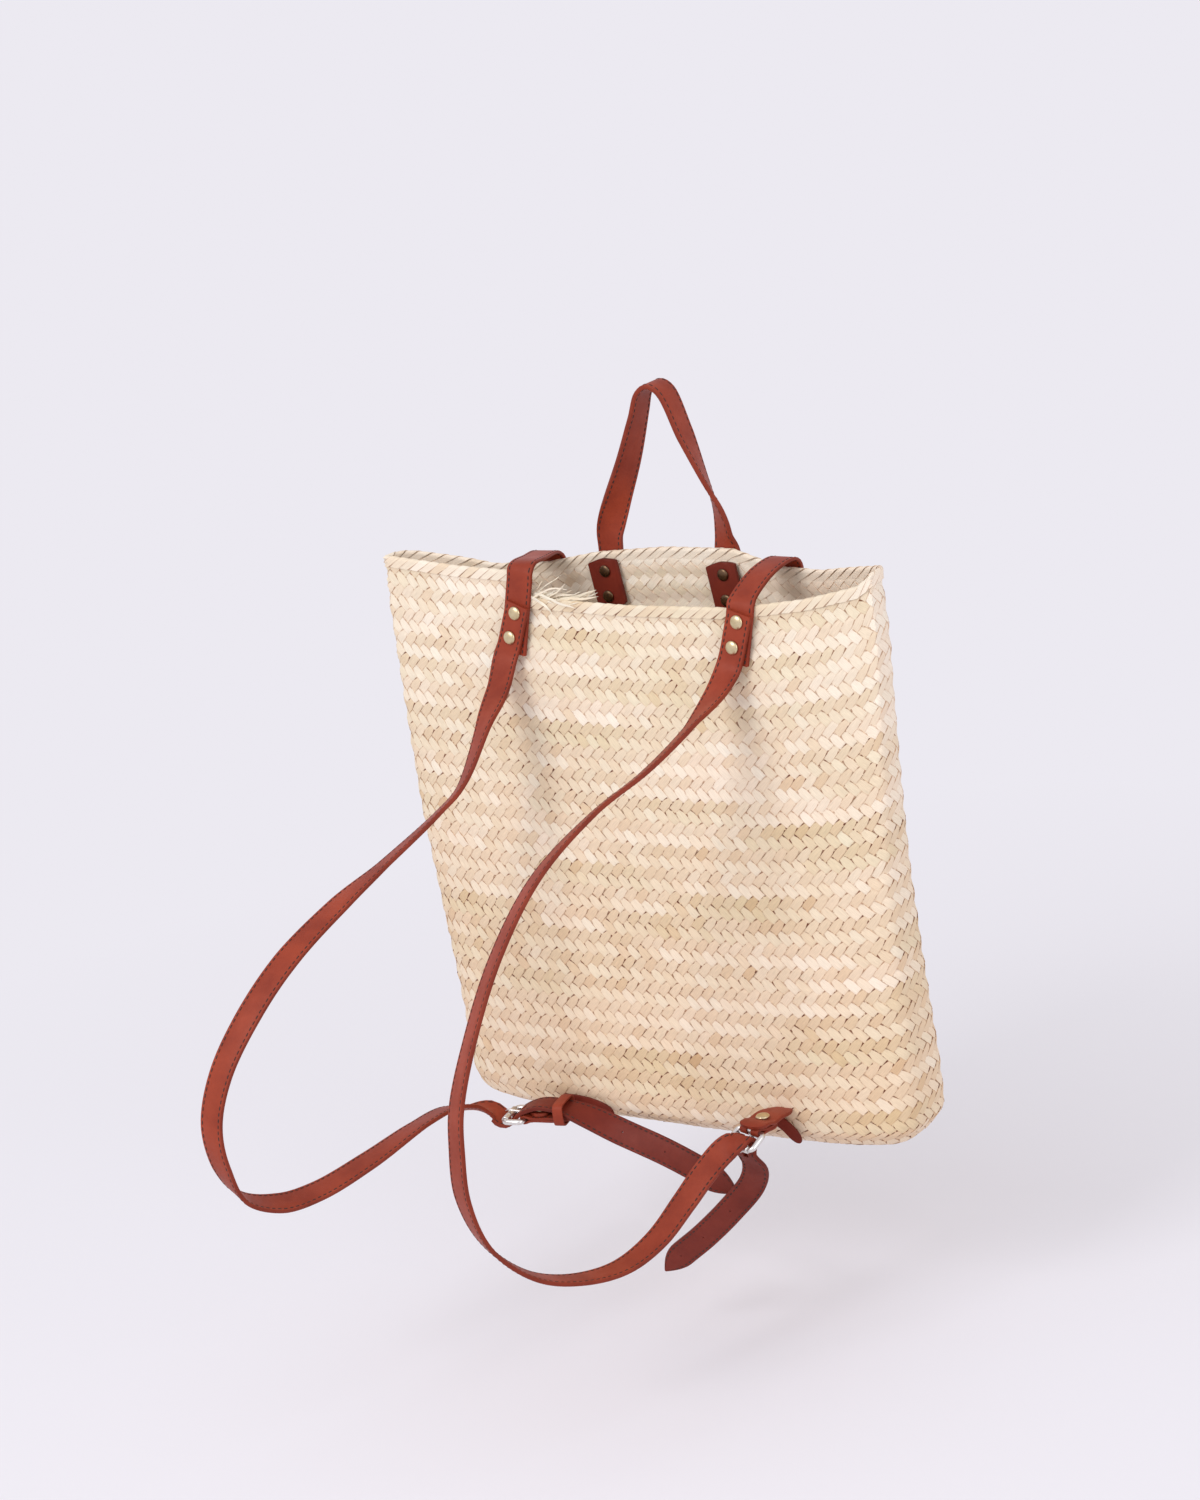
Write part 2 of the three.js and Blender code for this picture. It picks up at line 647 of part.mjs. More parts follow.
// The chape is folded round the heel bar and closed on itself, with a round end at the pivot.
function chapeBody(buckle) {
  const side = new THREE.Shape();
  const half = CHAPE_THICKNESS / 2;
  const end = -HEEL_DISTANCE - buckle.tongue;
  side.absarc(0, 0, CHAPE_FOLD_RADIUS, -0.75 * Math.PI, 0.75 * Math.PI);
  side.lineTo(-CHAPE_FOLD_RADIUS - 1, half);
  side.lineTo(end, half);
  side.lineTo(end, -half);
  side.lineTo(-CHAPE_FOLD_RADIUS - 1, -half);
  const up = vec(0, 0, 1);
  const sideways = vec(0, 0, 0).crossVectors(buckle.along, up);
  const start = buckle.heel.clone().addScaledVector(sideways, -CHAPE_WIDTH / 2);
  const folded = plate(side, CHAPE_WIDTH, frameOf(buckle.along, up, sideways, start), 8);
  const plan = new THREE.Shape();
  plan.absarc(CHAPE_WIDTH / 2 - buckle.tongue, 0, CHAPE_WIDTH / 2, Math.PI / 2, 1.5 * Math.PI);
  plan.lineTo(3 * CHAPE_WIDTH, -CHAPE_WIDTH / 2);
  plan.lineTo(3 * CHAPE_WIDTH, CHAPE_WIDTH / 2);
  const tall = 6 * CHAPE_FOLD_RADIUS;
  const low = buckle.pivot.clone().add(vec(0, 0, -tall / 2));
  const planAcross = vec(0, 0, 0).crossVectors(up, buckle.along);
  const outline = plate(plan, tall, frameOf(buckle.along, planAcross, up, low), 8);
  const reach = CHAPE_WIDTH;
  const tunnel = cylinder(
    HEEL_BAR_RADIUS + HOLE_CLEARANCE,
    buckle.heel.clone().addScaledVector(buckle.across, -reach),
    buckle.heel.clone().addScaledVector(buckle.across, reach),
  );
  const slotCentre = buckle.heel.clone().addScaledVector(buckle.along, CHAPE_FOLD_RADIUS / 2);
  const slot = box(
    3 * CHAPE_FOLD_RADIUS,
    PRONG_SLOT_WIDTH,
    4 * CHAPE_FOLD_RADIUS,
    frameOf(buckle.along, planAcross, up, slotCentre),
  );
  const seats = pivotRivetSeats(buckle);
  return without(common(folded, outline), [tunnel, slot, rivetHole(seats.burr, seats.cap)]);
}

// The keeper: a leather ring round the left chape's tongue and the strap's tail above it.
function keeperBody(buckle) {
  const bottom = -CHAPE_THICKNESS / 2 - SEAT_GAP;
  const centre = buckle.pivot.clone().addScaledVector(buckle.along, -KEEPER_DISTANCE);
  centre.z += bottom + KEEPER_OPENING / 2;
  const up = vec(0, 0, 1);
  const frame = frameOf(buckle.along, vec(0, 0, 0).crossVectors(up, buckle.along), up, centre);
  const width = STRAP_WIDTH + 6 * SEAT_GAP;
  const skin = 2 * KEEPER_THICKNESS;
  const outside = box(KEEPER_LENGTH, width + skin, KEEPER_OPENING + skin, frame);
  return without(outside, [box(2 * KEEPER_LENGTH, width, KEEPER_OPENING, frame)]);
}

// The buckle frame: heel bar, roller bar and two flat sides.
function buckleFrameBody(buckle) {
  const reach = FRAME_INNER_WIDTH / 2 + FRAME_SIDE_WIDTH / 2;
  const pieces = [];
  for (const [centre, radius] of [[buckle.heel, HEEL_BAR_RADIUS], [buckle.roller, ROLLER_BAR_RADIUS]]) {
    const from = centre.clone().addScaledVector(buckle.across, -reach);
    const to = centre.clone().addScaledVector(buckle.across, reach);
    pieces.push(cylinder(radius, from, to, 10));
  }
  const middle = buckle.heel.clone().add(buckle.roller).multiplyScalar(0.5);
  for (const hand of [-1, 1]) {
    const centre = middle.clone().addScaledVector(buckle.across, hand * reach);
    const length = HEEL_TO_ROLLER + 2 * HEEL_BAR_RADIUS + 1;
    const frame = frameOf(buckle.hang, buckle.across, buckle.prongSide, centre);
    pieces.push(box(length, FRAME_SIDE_WIDTH, FRAME_SIDE_THICKNESS, frame));
  }
  return joined(pieces);
}

function rollerBody(buckle) {
  const from = buckle.roller.clone().addScaledVector(buckle.across, -ROLLER_LENGTH / 2);
  const to = buckle.roller.clone().addScaledVector(buckle.across, ROLLER_LENGTH / 2);
  const past = buckle.across.clone().multiplyScalar(2);
  const bore = cylinder(ROLLER_BAR_RADIUS + HOLE_CLEARANCE, from.clone().sub(past), to.clone().add(past), 14);
  return without(cylinder(ROLLER_RADIUS, from, to, 14), [bore]);
}

// The prong: a ring round the heel bar and an arm that rests on the roller.
function prongBody(buckle) {
  const ringFrom = buckle.heel.clone().addScaledVector(buckle.across, -PRONG_RING_WIDTH / 2);
  const ringTo = buckle.heel.clone().addScaledVector(buckle.across, PRONG_RING_WIDTH / 2);
  const past = buckle.across.clone().multiplyScalar(2);
  const boreRadius = HEEL_BAR_RADIUS + HOLE_CLEARANCE;
  const bore = cylinder(boreRadius, ringFrom.clone().sub(past), ringTo.clone().add(past), 12);
  const half = PRONG_THICKNESS / 2;
  const rest = ROLLER_RADIUS + SEAT_GAP + half;
  const rootRise = PRONG_RING_RADIUS - half;
  const rows = [
    row(fromRoller(buckle, HEEL_TO_ROLLER, rootRise), buckle.across),
    row(fromRoller(buckle, HEEL_TO_ROLLER / 2, (rootRise + rest) / 2 + 0.2), buckle.across),
    row(fromRoller(buckle, 0, rest), buckle.across),
    row(fromRoller(buckle, -PRONG_OVERHANG, rest - 0.8), buckle.across),
  ];
  const arm = strip(rows, PRONG_WIDTH, PRONG_THICKNESS, 2);
  return without(joined([cylinder(PRONG_RING_RADIUS, ringFrom, ringTo, 12), arm]), [bore]);
}

// Shoulder straps: riveted to the near panel, out in a wide loop, through the buckle and on as a free tail.

const loopTurn = THREE.MathUtils.degToRad(LOOP_TURN);
const loopNormal = vec(Math.cos(loopTurn), -Math.sin(loopTurn), 0);

// Points of the left and right loops: across, out from the buckles' pivots, share of the height from
// the pivot up to the cut, and the strap's twist about its own length in degrees.
const LEFT_LOOP = [
  [-104, 18, 0.875, 25], [-111, 39, 0.832, 24], [-131, 86, 0.750, 14], [-144, 122, 0.697, -7],
  [-157, 173, 0.615, -20], [-169, 208, 0.516, -22], [-180, 234, 0.401, -18], [-186, 246, 0.286, -16],
  [-185, 245, 0.178, -10], [-183, 232, 0.086, 13], [-173, 207, 0.039, 24], [-163, 176, 0.030, 17],
  [-149, 134, 0.053, 10], [-138, 86, 0.082, -8], [-138, 50, 0.076, -14], [-137, 29, 0.053, -22],
];
const RIGHT_LOOP = [
  [74, 33, 0.932, 25], [57, 76, 0.875, 26], [40, 127, 0.776, 19], [26, 166, 0.624, 16],
  [18, 200, 0.444, 13], [13, 216, 0.315, 8], [12, 221, 0.227, 5], [8, 219, 0.092, 3],
  [12, 208, -0.037, 9], [24, 182, -0.149, 5], [38, 155, -0.197, 1], [53, 120, -0.214, 4],
  [63, 88, -0.186, 11], [73, 63, -0.122, 17], [82, 44, -0.064, 22], [90, 30, -0.027, 28],
];
// The tails hang free below the base: points from the pivot, and the direction across the strap there.
const LEFT_TAIL = [
  [15, 4, 7.5, vec(0.2, -1, -0.04)],
  [36, 7, 1, vec(0, -0.9, -0.4)],
  [64, 10, -10, vec(0, -0.6, -0.8)],
  [99, 12, -22, vec(0, -0.45, -0.9)],
  [128, 12, -33, vec(-0.1, -0.4, -0.9)],
  [151, 13, -44, vec(-0.1, -0.4, -0.9)],
];
const RIGHT_TAIL = [
  [-2, -5, -31, vec(1, 0.1, -0.2)],
  [-12, -3, -51, vec(0.85, 0.3, -0.4)],
  [-35, -2, -75, vec(0.7, 0.3, -0.6)],
  [-65, -1, -101, vec(0.6, 0.3, -0.8)],
  [-87, 0, -115, vec(0.6, 0.3, -0.8)],
  [-108, 0, -125, vec(0.6, 0.3, -0.8)],
];

// Directions across each strap where it leaves the panel.
const STRAP_TURN = {
  left: { above: vec(0.95, -0.25, -0.2), cut: vec(0.86, -0.5, 0) },
  right: { above: vec(0.95, -0.25, -0.05), cut: vec(0.82, -0.42, 0.38) },
};

function twisted(point, along, twist) {
  const level = loopNormal.clone().addScaledVector(along, -loopNormal.dot(along)).normalize();
  const turned = vec(0, 0, 0).crossVectors(along, level);
  const angle = THREE.MathUtils.degToRad(twist);
  return row(point, level.multiplyScalar(Math.cos(angle)).addScaledVector(turned, Math.sin(angle)));
}

function loopRows(table, pivot, before, after) {
  const height = before.z - pivot.z;
  const loop = table.map(([x, out, share]) => vec(x, pivot.y - out, pivot.z + share * height));
  const points = [before, ...loop, after];
  return table.map((entry, i) => {
    const along = points[i + 2].clone().sub(points[i]).normalize();
    return twisted(points[i + 1], along, entry[3]);
  });
}

function upperRows(side, hand) {
  const lean = STRAP_LEAN[side];
  const low = STRAP_TOP - STRAP_SEAT_LENGTH;
  const seat = (z, lift) => {
    const x = leaningX(hand, z, lean);
    return row(offWall(x, z, -1, strapOffset + lift), leaningAcross(x, z, lean));
  };
  const free = ({ x, back, drop }, across) => row(vec(x, PIVOT_Y + back, BASKET_HEIGHT - drop), across);
  return [
    seat(STRAP_TOP, 0),
    seat((STRAP_TOP + low) / 2, 0),
    seat(low, 0.1),
    seat(low - STRAP_BEND_LENGTH, STRAP_BEND_LIFT),
    free(ABOVE_CUT[side], STRAP_TURN[side].above),
    free(STRAP_CUT[side], STRAP_TURN[side].cut),
  ];
}

// The strap's way through the left buckle: down to the roller and under it,
// then up over the heel bar, the anchor and its rivet.
function leftBuckleRows(buckle) {
  const under = -(ROLLER_RADIUS + SEAT_GAP + STRAP_THICKNESS / 2) - 0.4;
  const over = CHAPE_FOLD_RADIUS + SEAT_GAP + STRAP_THICKNESS / 2 + 0.4;
  const cap = anchorBase + ANCHOR_THICKNESS + CAP_HEIGHT + 2 * SEAT_GAP + STRAP_THICKNESS / 2;
  const across = buckle.across.clone();
  if (across.y > 0) across.negate();
  return [
    row(fromRoller(buckle, -13, 5), vec(0.62, -0.72, 0.1)),
    row(fromRoller(buckle, -6.5, -3.2), vec(0.4, -0.9, 0.05)),
    row(fromRoller(buckle, 0, under), across),
    row(fromRoller(buckle, 5, under + 2.4), across),
    row(fromRoller(buckle, HEEL_TO_ROLLER - 5, over - 2.8), across),
    row(fromRoller(buckle, HEEL_TO_ROLLER, over), across),
    row(fromRoller(buckle, HEEL_TO_ROLLER + HEEL_DISTANCE, cap), across),
  ];
}

// The strap's way through the right buckle: up over the roller and down again on the prong's side.
function rightBuckleRows(buckle) {
  const round = ROLLER_RADIUS + SEAT_GAP + STRAP_THICKNESS / 2;
  const behind = round + PRONG_THICKNESS;
  const across = buckle.across.clone();
  if (across.x < 0) across.negate();
  return [
    row(fromRoller(buckle, 0.5, -round - 0.3), across),
    row(fromRoller(buckle, round + 0.8, -1.4), across),
    row(fromRoller(buckle, round + 0.2, 3.4), across),
    row(fromRoller(buckle, 1.5, behind + 1.5), across),
  ];
}

function tailRows(table, buckle) {
  return table.map(([x, y, z, across]) => row(vec(x, y, z).add(buckle.pivot), across));
}

// Slot for the prong, where the strap crosses the window of the frame.
function prongSlot(buckle) {
  const centre = fromRoller(buckle, STRAP_SLOT_LENGTH / 2 - 0.2, 1);
  const tall = 6 * STRAP_THICKNESS;
  const frame = frameOf(buckle.hang, buckle.across, buckle.prongSide, centre);
  return box(STRAP_SLOT_LENGTH, PRONG_SLOT_WIDTH, tall, frame);
}

// Punched holes and the pointed tip of a tail, both laid out on the strap's own centre line.
function tailCutters(rows) {
  const tip = rows.at(-1);
  const cutters = [];
  for (const back of [2, 3, 4]) {
    const here = rows.at(-back);
    const along = rows.at(-back + 1).point.clone().sub(rows.at(-back - 1).point).normalize();
    const out = vec(0, 0, 0).crossVectors(along, here.across).normalize();
    const from = here.point.clone().addScaledVector(out, -8);
    const to = here.point.clone().addScaledVector(out, 8);
    cutters.push(cylinder(TAIL_HOLE_RADIUS, from, to, 8));
  }
  const along = tip.point.clone().sub(rows.at(-2).point).normalize();
  const across = tip.across.clone().addScaledVector(along, -tip.across.dot(along)).normalize();
  const out = vec(0, 0, 0).crossVectors(along, across);
  const half = STRAP_WIDTH / 2;
  for (const hand of [-1, 1]) {
    const corner = new THREE.Shape();
    corner.moveTo(-TAIL_TIP_LENGTH, hand * (half + 1));
    corner.quadraticCurveTo(-TAIL_TIP_LENGTH * 0.4, hand * half, 0.5, hand * 2);
    corner.lineTo(6, hand * 2);
    corner.lineTo(6, hand * (half + 4));
    corner.lineTo(-TAIL_TIP_LENGTH, hand * (half + 4));
    const low = tip.point.clone().addScaledVector(out, -6);
    cutters.push(plate(corner, 12, frameOf(along, across, out, low), 4));
  }
  return cutters;
}

function halfSpace(from, to) {
  const reach = 2000;
  const centre = vec(0, 0, (from + to) / 2);
  return box(reach, reach, to - from, frameOf(vec(1, 0, 0), vec(0, 1, 0), vec(0, 0, 1), centre));
}

// Assembly

const seats = {};
for (const [side, hand] of [["left", -1], ["right", 1]]) {
  STRAP_RIVET_HEIGHTS.forEach((z, i) => {
    const x = leaningX(hand, z, STRAP_LEAN[side]);
    seats[`strap_rivet_${side}_${i + 1}`] = wallRivetSeats(x, z, -1, strapStack, 0);
  });
  BAND_FAR_RIVET_HEIGHTS.forEach((z, i) => {
    seats[`band_rivet_${side}_${i + 1}`] = wallRivetSeats(hand * BAND_FAR_X, z, 1, bandStack, 0);
  });
  HANDLE_RIVET_HEIGHTS.forEach((z, i) => {
    const inside = SEAT_GAP + TAB_THICKNESS;
    seats[`handle_rivet_${side}_${i + 1}`] = wallRivetSeats(hand * HANDLE_X, z, 1, handleStack, inside);
  });
}
const holes = {};
for (const [name, seat] of Object.entries(seats)) holes[name] = rivetHole(seat.burr, seat.cap);
function holesNamed(...starts) {
  const names = Object.keys(holes).filter((name) => starts.some((start) => name.startsWith(start)));
  return names.map((name) => holes[name]);
}

const basketCuts = [...Object.values(holes), anchorSlit(leftBuckle), anchorSlit(rightBuckle)];
addPart("straw_basket", without(basketBody(), basketCuts), STRAW);
for (const [name, seat] of Object.entries(seats)) {
  addPart(name, rivet(seat.burr, seat.cap), name.startsWith("handle") ? BRONZE : BRASS);
}

const sides = {
  left: {
    hand: -1,
    buckle: leftBuckle,
    loop: LEFT_LOOP,
    cut: BASKET_HEIGHT - STRAP_CUT.left.drop,
    through: leftBuckleRows(leftBuckle),
    tail: tailRows(LEFT_TAIL, leftBuckle),
  },
  right: {
    hand: 1,
    buckle: rightBuckle,
    loop: RIGHT_LOOP,
    cut: BASKET_HEIGHT - STRAP_CUT.right.drop,
    through: rightBuckleRows(rightBuckle),
    tail: tailRows(RIGHT_TAIL, rightBuckle),
  },
};

for (const [side, { hand, buckle, loop, cut, through, tail }] of Object.entries(sides)) {
  const bandHoles = holesNamed(`strap_rivet_${side}`, `band_rivet_${side}`);
  const crown = BASKET_HEIGHT - BAND_CROWN_DROP[side];
  addPart(`bridge_band_${side}`, without(bandBody(hand, crown), bandHoles), LEATHER);

  const footHoles = holesNamed(`handle_rivet_${side}`);
  addPart(`handle_foot_${side}`, without(handleFootBody(hand), footHoles), LEATHER);
  addPart(`handle_tab_${side}`, without(handleTabBody(hand), footHoles), LEATHER);

  const upper = upperRows(side, hand);
  const around = loopRows(loop, buckle.pivot, upper.at(-1).point, through[0].point);
  const rows = [...upper, ...around, ...through, ...tail];
  const whole = without(strip(rows, STRAP_WIDTH, STRAP_THICKNESS, 2), [
    ...holesNamed(`strap_rivet_${side}`),
    prongSlot(buckle),
    ...tailCutters(rows),
  ]);
  addPart(`strap_end_${side}`, common(whole, halfSpace(cut + CUT_GAP / 2, 1000)), LEATHER);
  addPart(`shoulder_strap_${side}`, common(whole, halfSpace(-1000, cut - CUT_GAP / 2)), LEATHER);

  const pivot = pivotRivetSeats(buckle);
  const pivotHole = rivetHole(pivot.burr, pivot.cap);
  addPart(`anchor_tab_${side}`, without(anchorBody(buckle), [pivotHole]), LEATHER);
  addPart(`anchor_rivet_${side}`, rivet(pivot.burr, pivot.cap), BRASS);
  addPart(`chape_${side}`, chapeBody(buckle), LEATHER);
  addPart(`buckle_frame_${side}`, buckleFrameBody(buckle), NICKEL);
  addPart(`buckle_roller_${side}`, rollerBody(buckle), NICKEL);
  addPart(`buckle_prong_${side}`, prongBody(buckle), NICKEL);
}
addPart("keeper_left", keeperBody(leftBuckle), LEATHER);
addPart("handle_loop", handleLoopBody(), LEATHER);

// The origin is on the underside of the handle's top, where a hook or a hand holds the bag.
bag.position.set(-HANDLE_TOP_X, -hingeY, -(HANDLE_TOP - HANDLE_THICKNESS / 2));

export default bag;
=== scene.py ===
# %% [markdown]
# # A straw backpack
# A soft basket plaited from palm leaf, with a riveted leather carry handle and two looped leather
# shoulder straps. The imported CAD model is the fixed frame. Every cell below dresses one part of it.

import math

import bmesh
import bpy
import numpy as np
from mathutils import Matrix, Vector


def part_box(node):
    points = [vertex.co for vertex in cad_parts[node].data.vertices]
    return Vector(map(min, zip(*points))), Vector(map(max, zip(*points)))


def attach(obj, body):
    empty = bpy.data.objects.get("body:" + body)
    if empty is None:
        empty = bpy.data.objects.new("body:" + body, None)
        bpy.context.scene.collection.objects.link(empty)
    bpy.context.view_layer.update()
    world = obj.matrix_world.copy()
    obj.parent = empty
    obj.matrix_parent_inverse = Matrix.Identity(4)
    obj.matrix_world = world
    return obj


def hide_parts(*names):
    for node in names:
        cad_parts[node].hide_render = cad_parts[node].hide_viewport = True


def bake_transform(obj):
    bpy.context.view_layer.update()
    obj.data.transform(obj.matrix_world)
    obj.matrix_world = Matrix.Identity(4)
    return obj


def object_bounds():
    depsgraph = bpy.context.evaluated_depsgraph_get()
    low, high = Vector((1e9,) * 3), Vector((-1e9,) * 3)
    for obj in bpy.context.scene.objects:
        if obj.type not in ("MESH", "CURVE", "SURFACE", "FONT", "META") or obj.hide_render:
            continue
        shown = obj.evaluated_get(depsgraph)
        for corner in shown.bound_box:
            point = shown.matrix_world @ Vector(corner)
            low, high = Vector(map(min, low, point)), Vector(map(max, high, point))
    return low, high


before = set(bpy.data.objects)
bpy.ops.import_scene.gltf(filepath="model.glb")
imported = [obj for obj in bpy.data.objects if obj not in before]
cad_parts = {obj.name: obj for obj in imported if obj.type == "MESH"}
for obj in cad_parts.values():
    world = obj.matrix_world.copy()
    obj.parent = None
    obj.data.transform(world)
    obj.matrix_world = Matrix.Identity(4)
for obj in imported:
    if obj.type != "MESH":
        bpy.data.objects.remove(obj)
cad_low, cad_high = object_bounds()
print("CAD box, m:", [round(x, 3) for x in (*cad_low, *cad_high)])

# %% [markdown]
# ## One set of sizes
# The pieces are worked out in millimetres from the middle of the basket's base, as a maker would
# measure them. The basket's wall could be sculpted, but straps and rivets have to sit on it exactly, so
# it is a formula: a rounded outline that gets flatter towards the near rim, with soft sides that swell.

# %% Sizes of the basket
MM = 0.001
BASKET_HEIGHT = 420.0
RIM_WIDTH = 428.0
BASE_WIDTH = 390.0
BASE_HALF_DEPTH = 50.5
FAR_RIM_DEPTH = 57.0
NEAR_RIM_DEPTH = 0.0
BASE_SQUARENESS = 3.9
RIM_SQUARENESS = 3.0
BASE_EDGE_RADIUS = 25.0
WALL = 5.0
SIDE_LEAN = 6.0
SEAT_GAP = 0.3
NEAR = -1
FAR = 1


def lerp(a, b, share):
    return a + (b - a) * share


def half_width(z):
    return lerp(BASE_WIDTH, RIM_WIDTH, z / BASKET_HEIGHT) / 2


def depth(z, side):
    return lerp(BASE_HALF_DEPTH, NEAR_RIM_DEPTH if side == NEAR else FAR_RIM_DEPTH, z / BASKET_HEIGHT)


def lean(z):
    return -SIDE_LEAN * np.sin(np.pi * z / BASKET_HEIGHT)


def round_share(share, z):
    power = lerp(BASE_SQUARENESS, RIM_SQUARENESS, z / BASKET_HEIGHT)
    return np.maximum(0, 1 - np.abs(share) ** power) ** (1 / power)


def swell(share, z):
    """How far the soft sides stand out of the plain shape: heights and millimetres for each side."""
    left = np.interp(z, (90, 230, 380, 420), (0, 7, 7, 4))
    right = np.interp(z, (10, 50, 200, 370, 420), (5, 6, 0, -2, -7))
    return np.where(share < 0, -left, right) * np.abs(share) ** 4


def wall_point(share, z, side, inset=0.0):
    x = lean(z) + share * (half_width(z) - inset) + swell(share, z)
    y = side * (depth(z, side) - inset) * round_share(share, z)
    return np.stack(np.broadcast_arrays(x, y, z), axis=-1)


def edge_inset(z):
    drop = BASE_EDGE_RADIUS - min(z, BASE_EDGE_RADIUS)
    return BASE_EDGE_RADIUS - math.sqrt(BASE_EDGE_RADIUS**2 - drop**2)


def outer_y(x, z, side):
    inset = edge_inset(z)
    return float(wall_point((x - lean(z)) / (half_width(z) - inset), z, side, inset)[1])


def unit(v):
    v = np.asarray(v, float)
    return v / np.linalg.norm(v)


def wall_place(x, z, side):
    """A point of the outer wall, with the directions out of it, up it and across it."""
    step = 2.0
    up = unit((0, outer_y(x, z + step, side) - outer_y(x, z - step, side), 2 * step))
    across = unit((2 * step, outer_y(x + step, z, side) - outer_y(x - step, z, side), 0))
    out = unit(np.cross(across, up) * -side)
    return np.array((x, outer_y(x, z, side), z)), out, up, across


def off_wall(x, z, side, distance):
    point, out, _, _ = wall_place(x, z, side)
    return point + out * distance


print("near wall at half height, mm in front of the middle:", round(-outer_y(0, BASKET_HEIGHT / 2, NEAR), 1))

# %% [markdown]
# ## Into the frame
# The frame is in metres and starts under the top of the handle. Each piece could be an object with a
# place of its own, but here the place goes into the mesh: then every object stays at the origin, as the
# CAD nodes do, and a pattern can't slide on it.

# %% From millimetres at the base to the frame
HANDLE_X = 52.0
HANDLE_THICKNESS = 3.5
HANDLE_RISE = 115.0
HANDLE_TOP_X = 8.0
handle_offset = SEAT_GAP + HANDLE_THICKNESS / 2
hinge_y = off_wall(HANDLE_X, BASKET_HEIGHT, FAR, handle_offset)[1]
ORIGIN = np.array((HANDLE_TOP_X, hinge_y, BASKET_HEIGHT + HANDLE_RISE - HANDLE_THICKNESS / 2))


def to_frame(points):
    return (np.asarray(points, float) - ORIGIN) * MM


base_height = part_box("straw_basket")[0][2] / MM + ORIGIN[2]
print("base of the basket, mm from where the frame has it:", round(base_height, 3))

# %% [markdown]
# ## Camera
# The photograph was taken from the right of the strap side, a little above, with a long lens. The bag
# hung slightly turned in the picture's plane, so the camera is rolled instead of the bag.

# %% Camera
CAMERA_YAW = 38.0
CAMERA_ELEVATION = 16.8
CAMERA_ROLL = -8.9
CAMERA_DISTANCE = 2662.0
CAMERA_TARGET = (-44.2, 0.0, 277.6)
FOCAL_LENGTH = 88.2
SENSOR = 36.0


def linked(name, data):
    """A new object in the scene."""
    thing = bpy.data.objects.new(name, data)
    bpy.context.scene.collection.objects.link(thing)
    return thing


def add_camera():
    yaw, elevation, roll = (math.radians(a) for a in (CAMERA_YAW, CAMERA_ELEVATION, CAMERA_ROLL))
    away = math.cos(elevation)
    back = Vector((math.sin(yaw) * away, -math.cos(yaw) * away, math.sin(elevation)))
    level = Vector((math.cos(yaw), math.sin(yaw), 0))
    up = back.cross(level)
    right = level * math.cos(roll) + up * math.sin(roll)
    camera = linked("camera", bpy.data.cameras.new("camera"))
    camera.data.lens = FOCAL_LENGTH
    camera.data.sensor_width = SENSOR
    turn = Matrix((right, back.cross(right), back)).transposed().to_4x4()
    target = Vector(to_frame(CAMERA_TARGET))
    camera.matrix_world = Matrix.Translation(target + back * CAMERA_DISTANCE * MM) @ turn
    camera.data.clip_end = 100
    bpy.context.scene.camera = camera
    return camera


camera = add_camera()
print("camera at", [round(x, 3) for x in camera.location])

# %% [markdown]
# ## Node materials
# Every finish below is a tree of shader nodes. In the editor the nodes are added and wired by hand. In a
# script that takes many lines, so a few helpers add a node, feed its inputs and pass on its output.

# %% Helpers for node materials
def feed(socket, value):
    """A value for a socket, or a wire from another node's output."""
    if isinstance(value, bpy.types.NodeSocket):
        socket.id_data.links.new(value, socket)
    else:
        socket.default_value = value


def adder(tree):
    """A short way to add a node to a tree: its kind, its inputs by name or number, and its settings."""

    def add(kind, inputs=None, **settings):
        node = tree.nodes.new(kind)
        for key, value in settings.items():
            setattr(node, key, value)
        for key, value in (inputs or {}).items():
            feed(node.inputs[key], value)
        return node

    return add


def new_material(name):
    material = bpy.data.materials.new(name)
    material.use_nodes = True
    return material, material.node_tree.nodes["Principled BSDF"], adder(material.node_tree)


def calc(add, operation, *values):
    return add("ShaderNodeMath", dict(enumerate(values)), operation=operation).outputs[0]


def ramp_of(add, factor, stops):
    """A colour ramp from pairs of place and colour."""
    node = add("ShaderNodeValToRGB", {"Fac": factor})
    elements = node.color_ramp.elements
    while len(elements) < len(stops):
        elements.new(0.5)
    for element, (place, colour) in zip(elements, stops):
        element.position = place
        element.color = (*colour, 1)
    return node.outputs["Color"]


def mixed(add, blend, factor, a, b):
    """Two colours, each a socket or three numbers, mixed by a factor."""
    node = add("ShaderNodeMix", data_type="RGBA", blend_type=blend)
    for key, value in (("Factor", factor), ("A", a), ("B", b)):
        socket = next(s for s in node.inputs if s.name == key and s.enabled)
        feed(socket, (*value, 1) if isinstance(value, tuple) else value)
    return next(s for s in node.outputs if s.enabled)


def ranged(add, value, low, high, to_low, to_high):
    inputs = {"Value": value, "From Min": low, "From Max": high, "To Min": to_low, "To Max": to_high}
    return add("ShaderNodeMapRange", inputs).outputs["Result"]


helpers = (feed, adder, new_material, calc, ramp_of, mixed, ranged)
print("helpers:", ", ".join(helper.__name__ for helper in helpers))

# %% [markdown]
# ## Studio
# A pale floor below the hanging bag, a sky that lights it evenly and two soft lamps. A curved backdrop
# could hide the horizon too. Here the far floor glows in the colour of the sky instead, and only the
# floor near the bag is a plain surface, which takes the shadow.

# %% Studio
PALE = (0.84, 0.82, 0.88)
SKY_LIGHT = (1.0, 0.99, 0.98)
SKY_STRENGTH = 0.82
FLOOR_COLOUR = (0.80, 0.78, 0.85)
FLOOR_DROP = 0.05
FLOOR_RADIUS = 60
FLOOR_MIDDLE_Y = -0.1
floor_height = cad_low.z - FLOOR_DROP


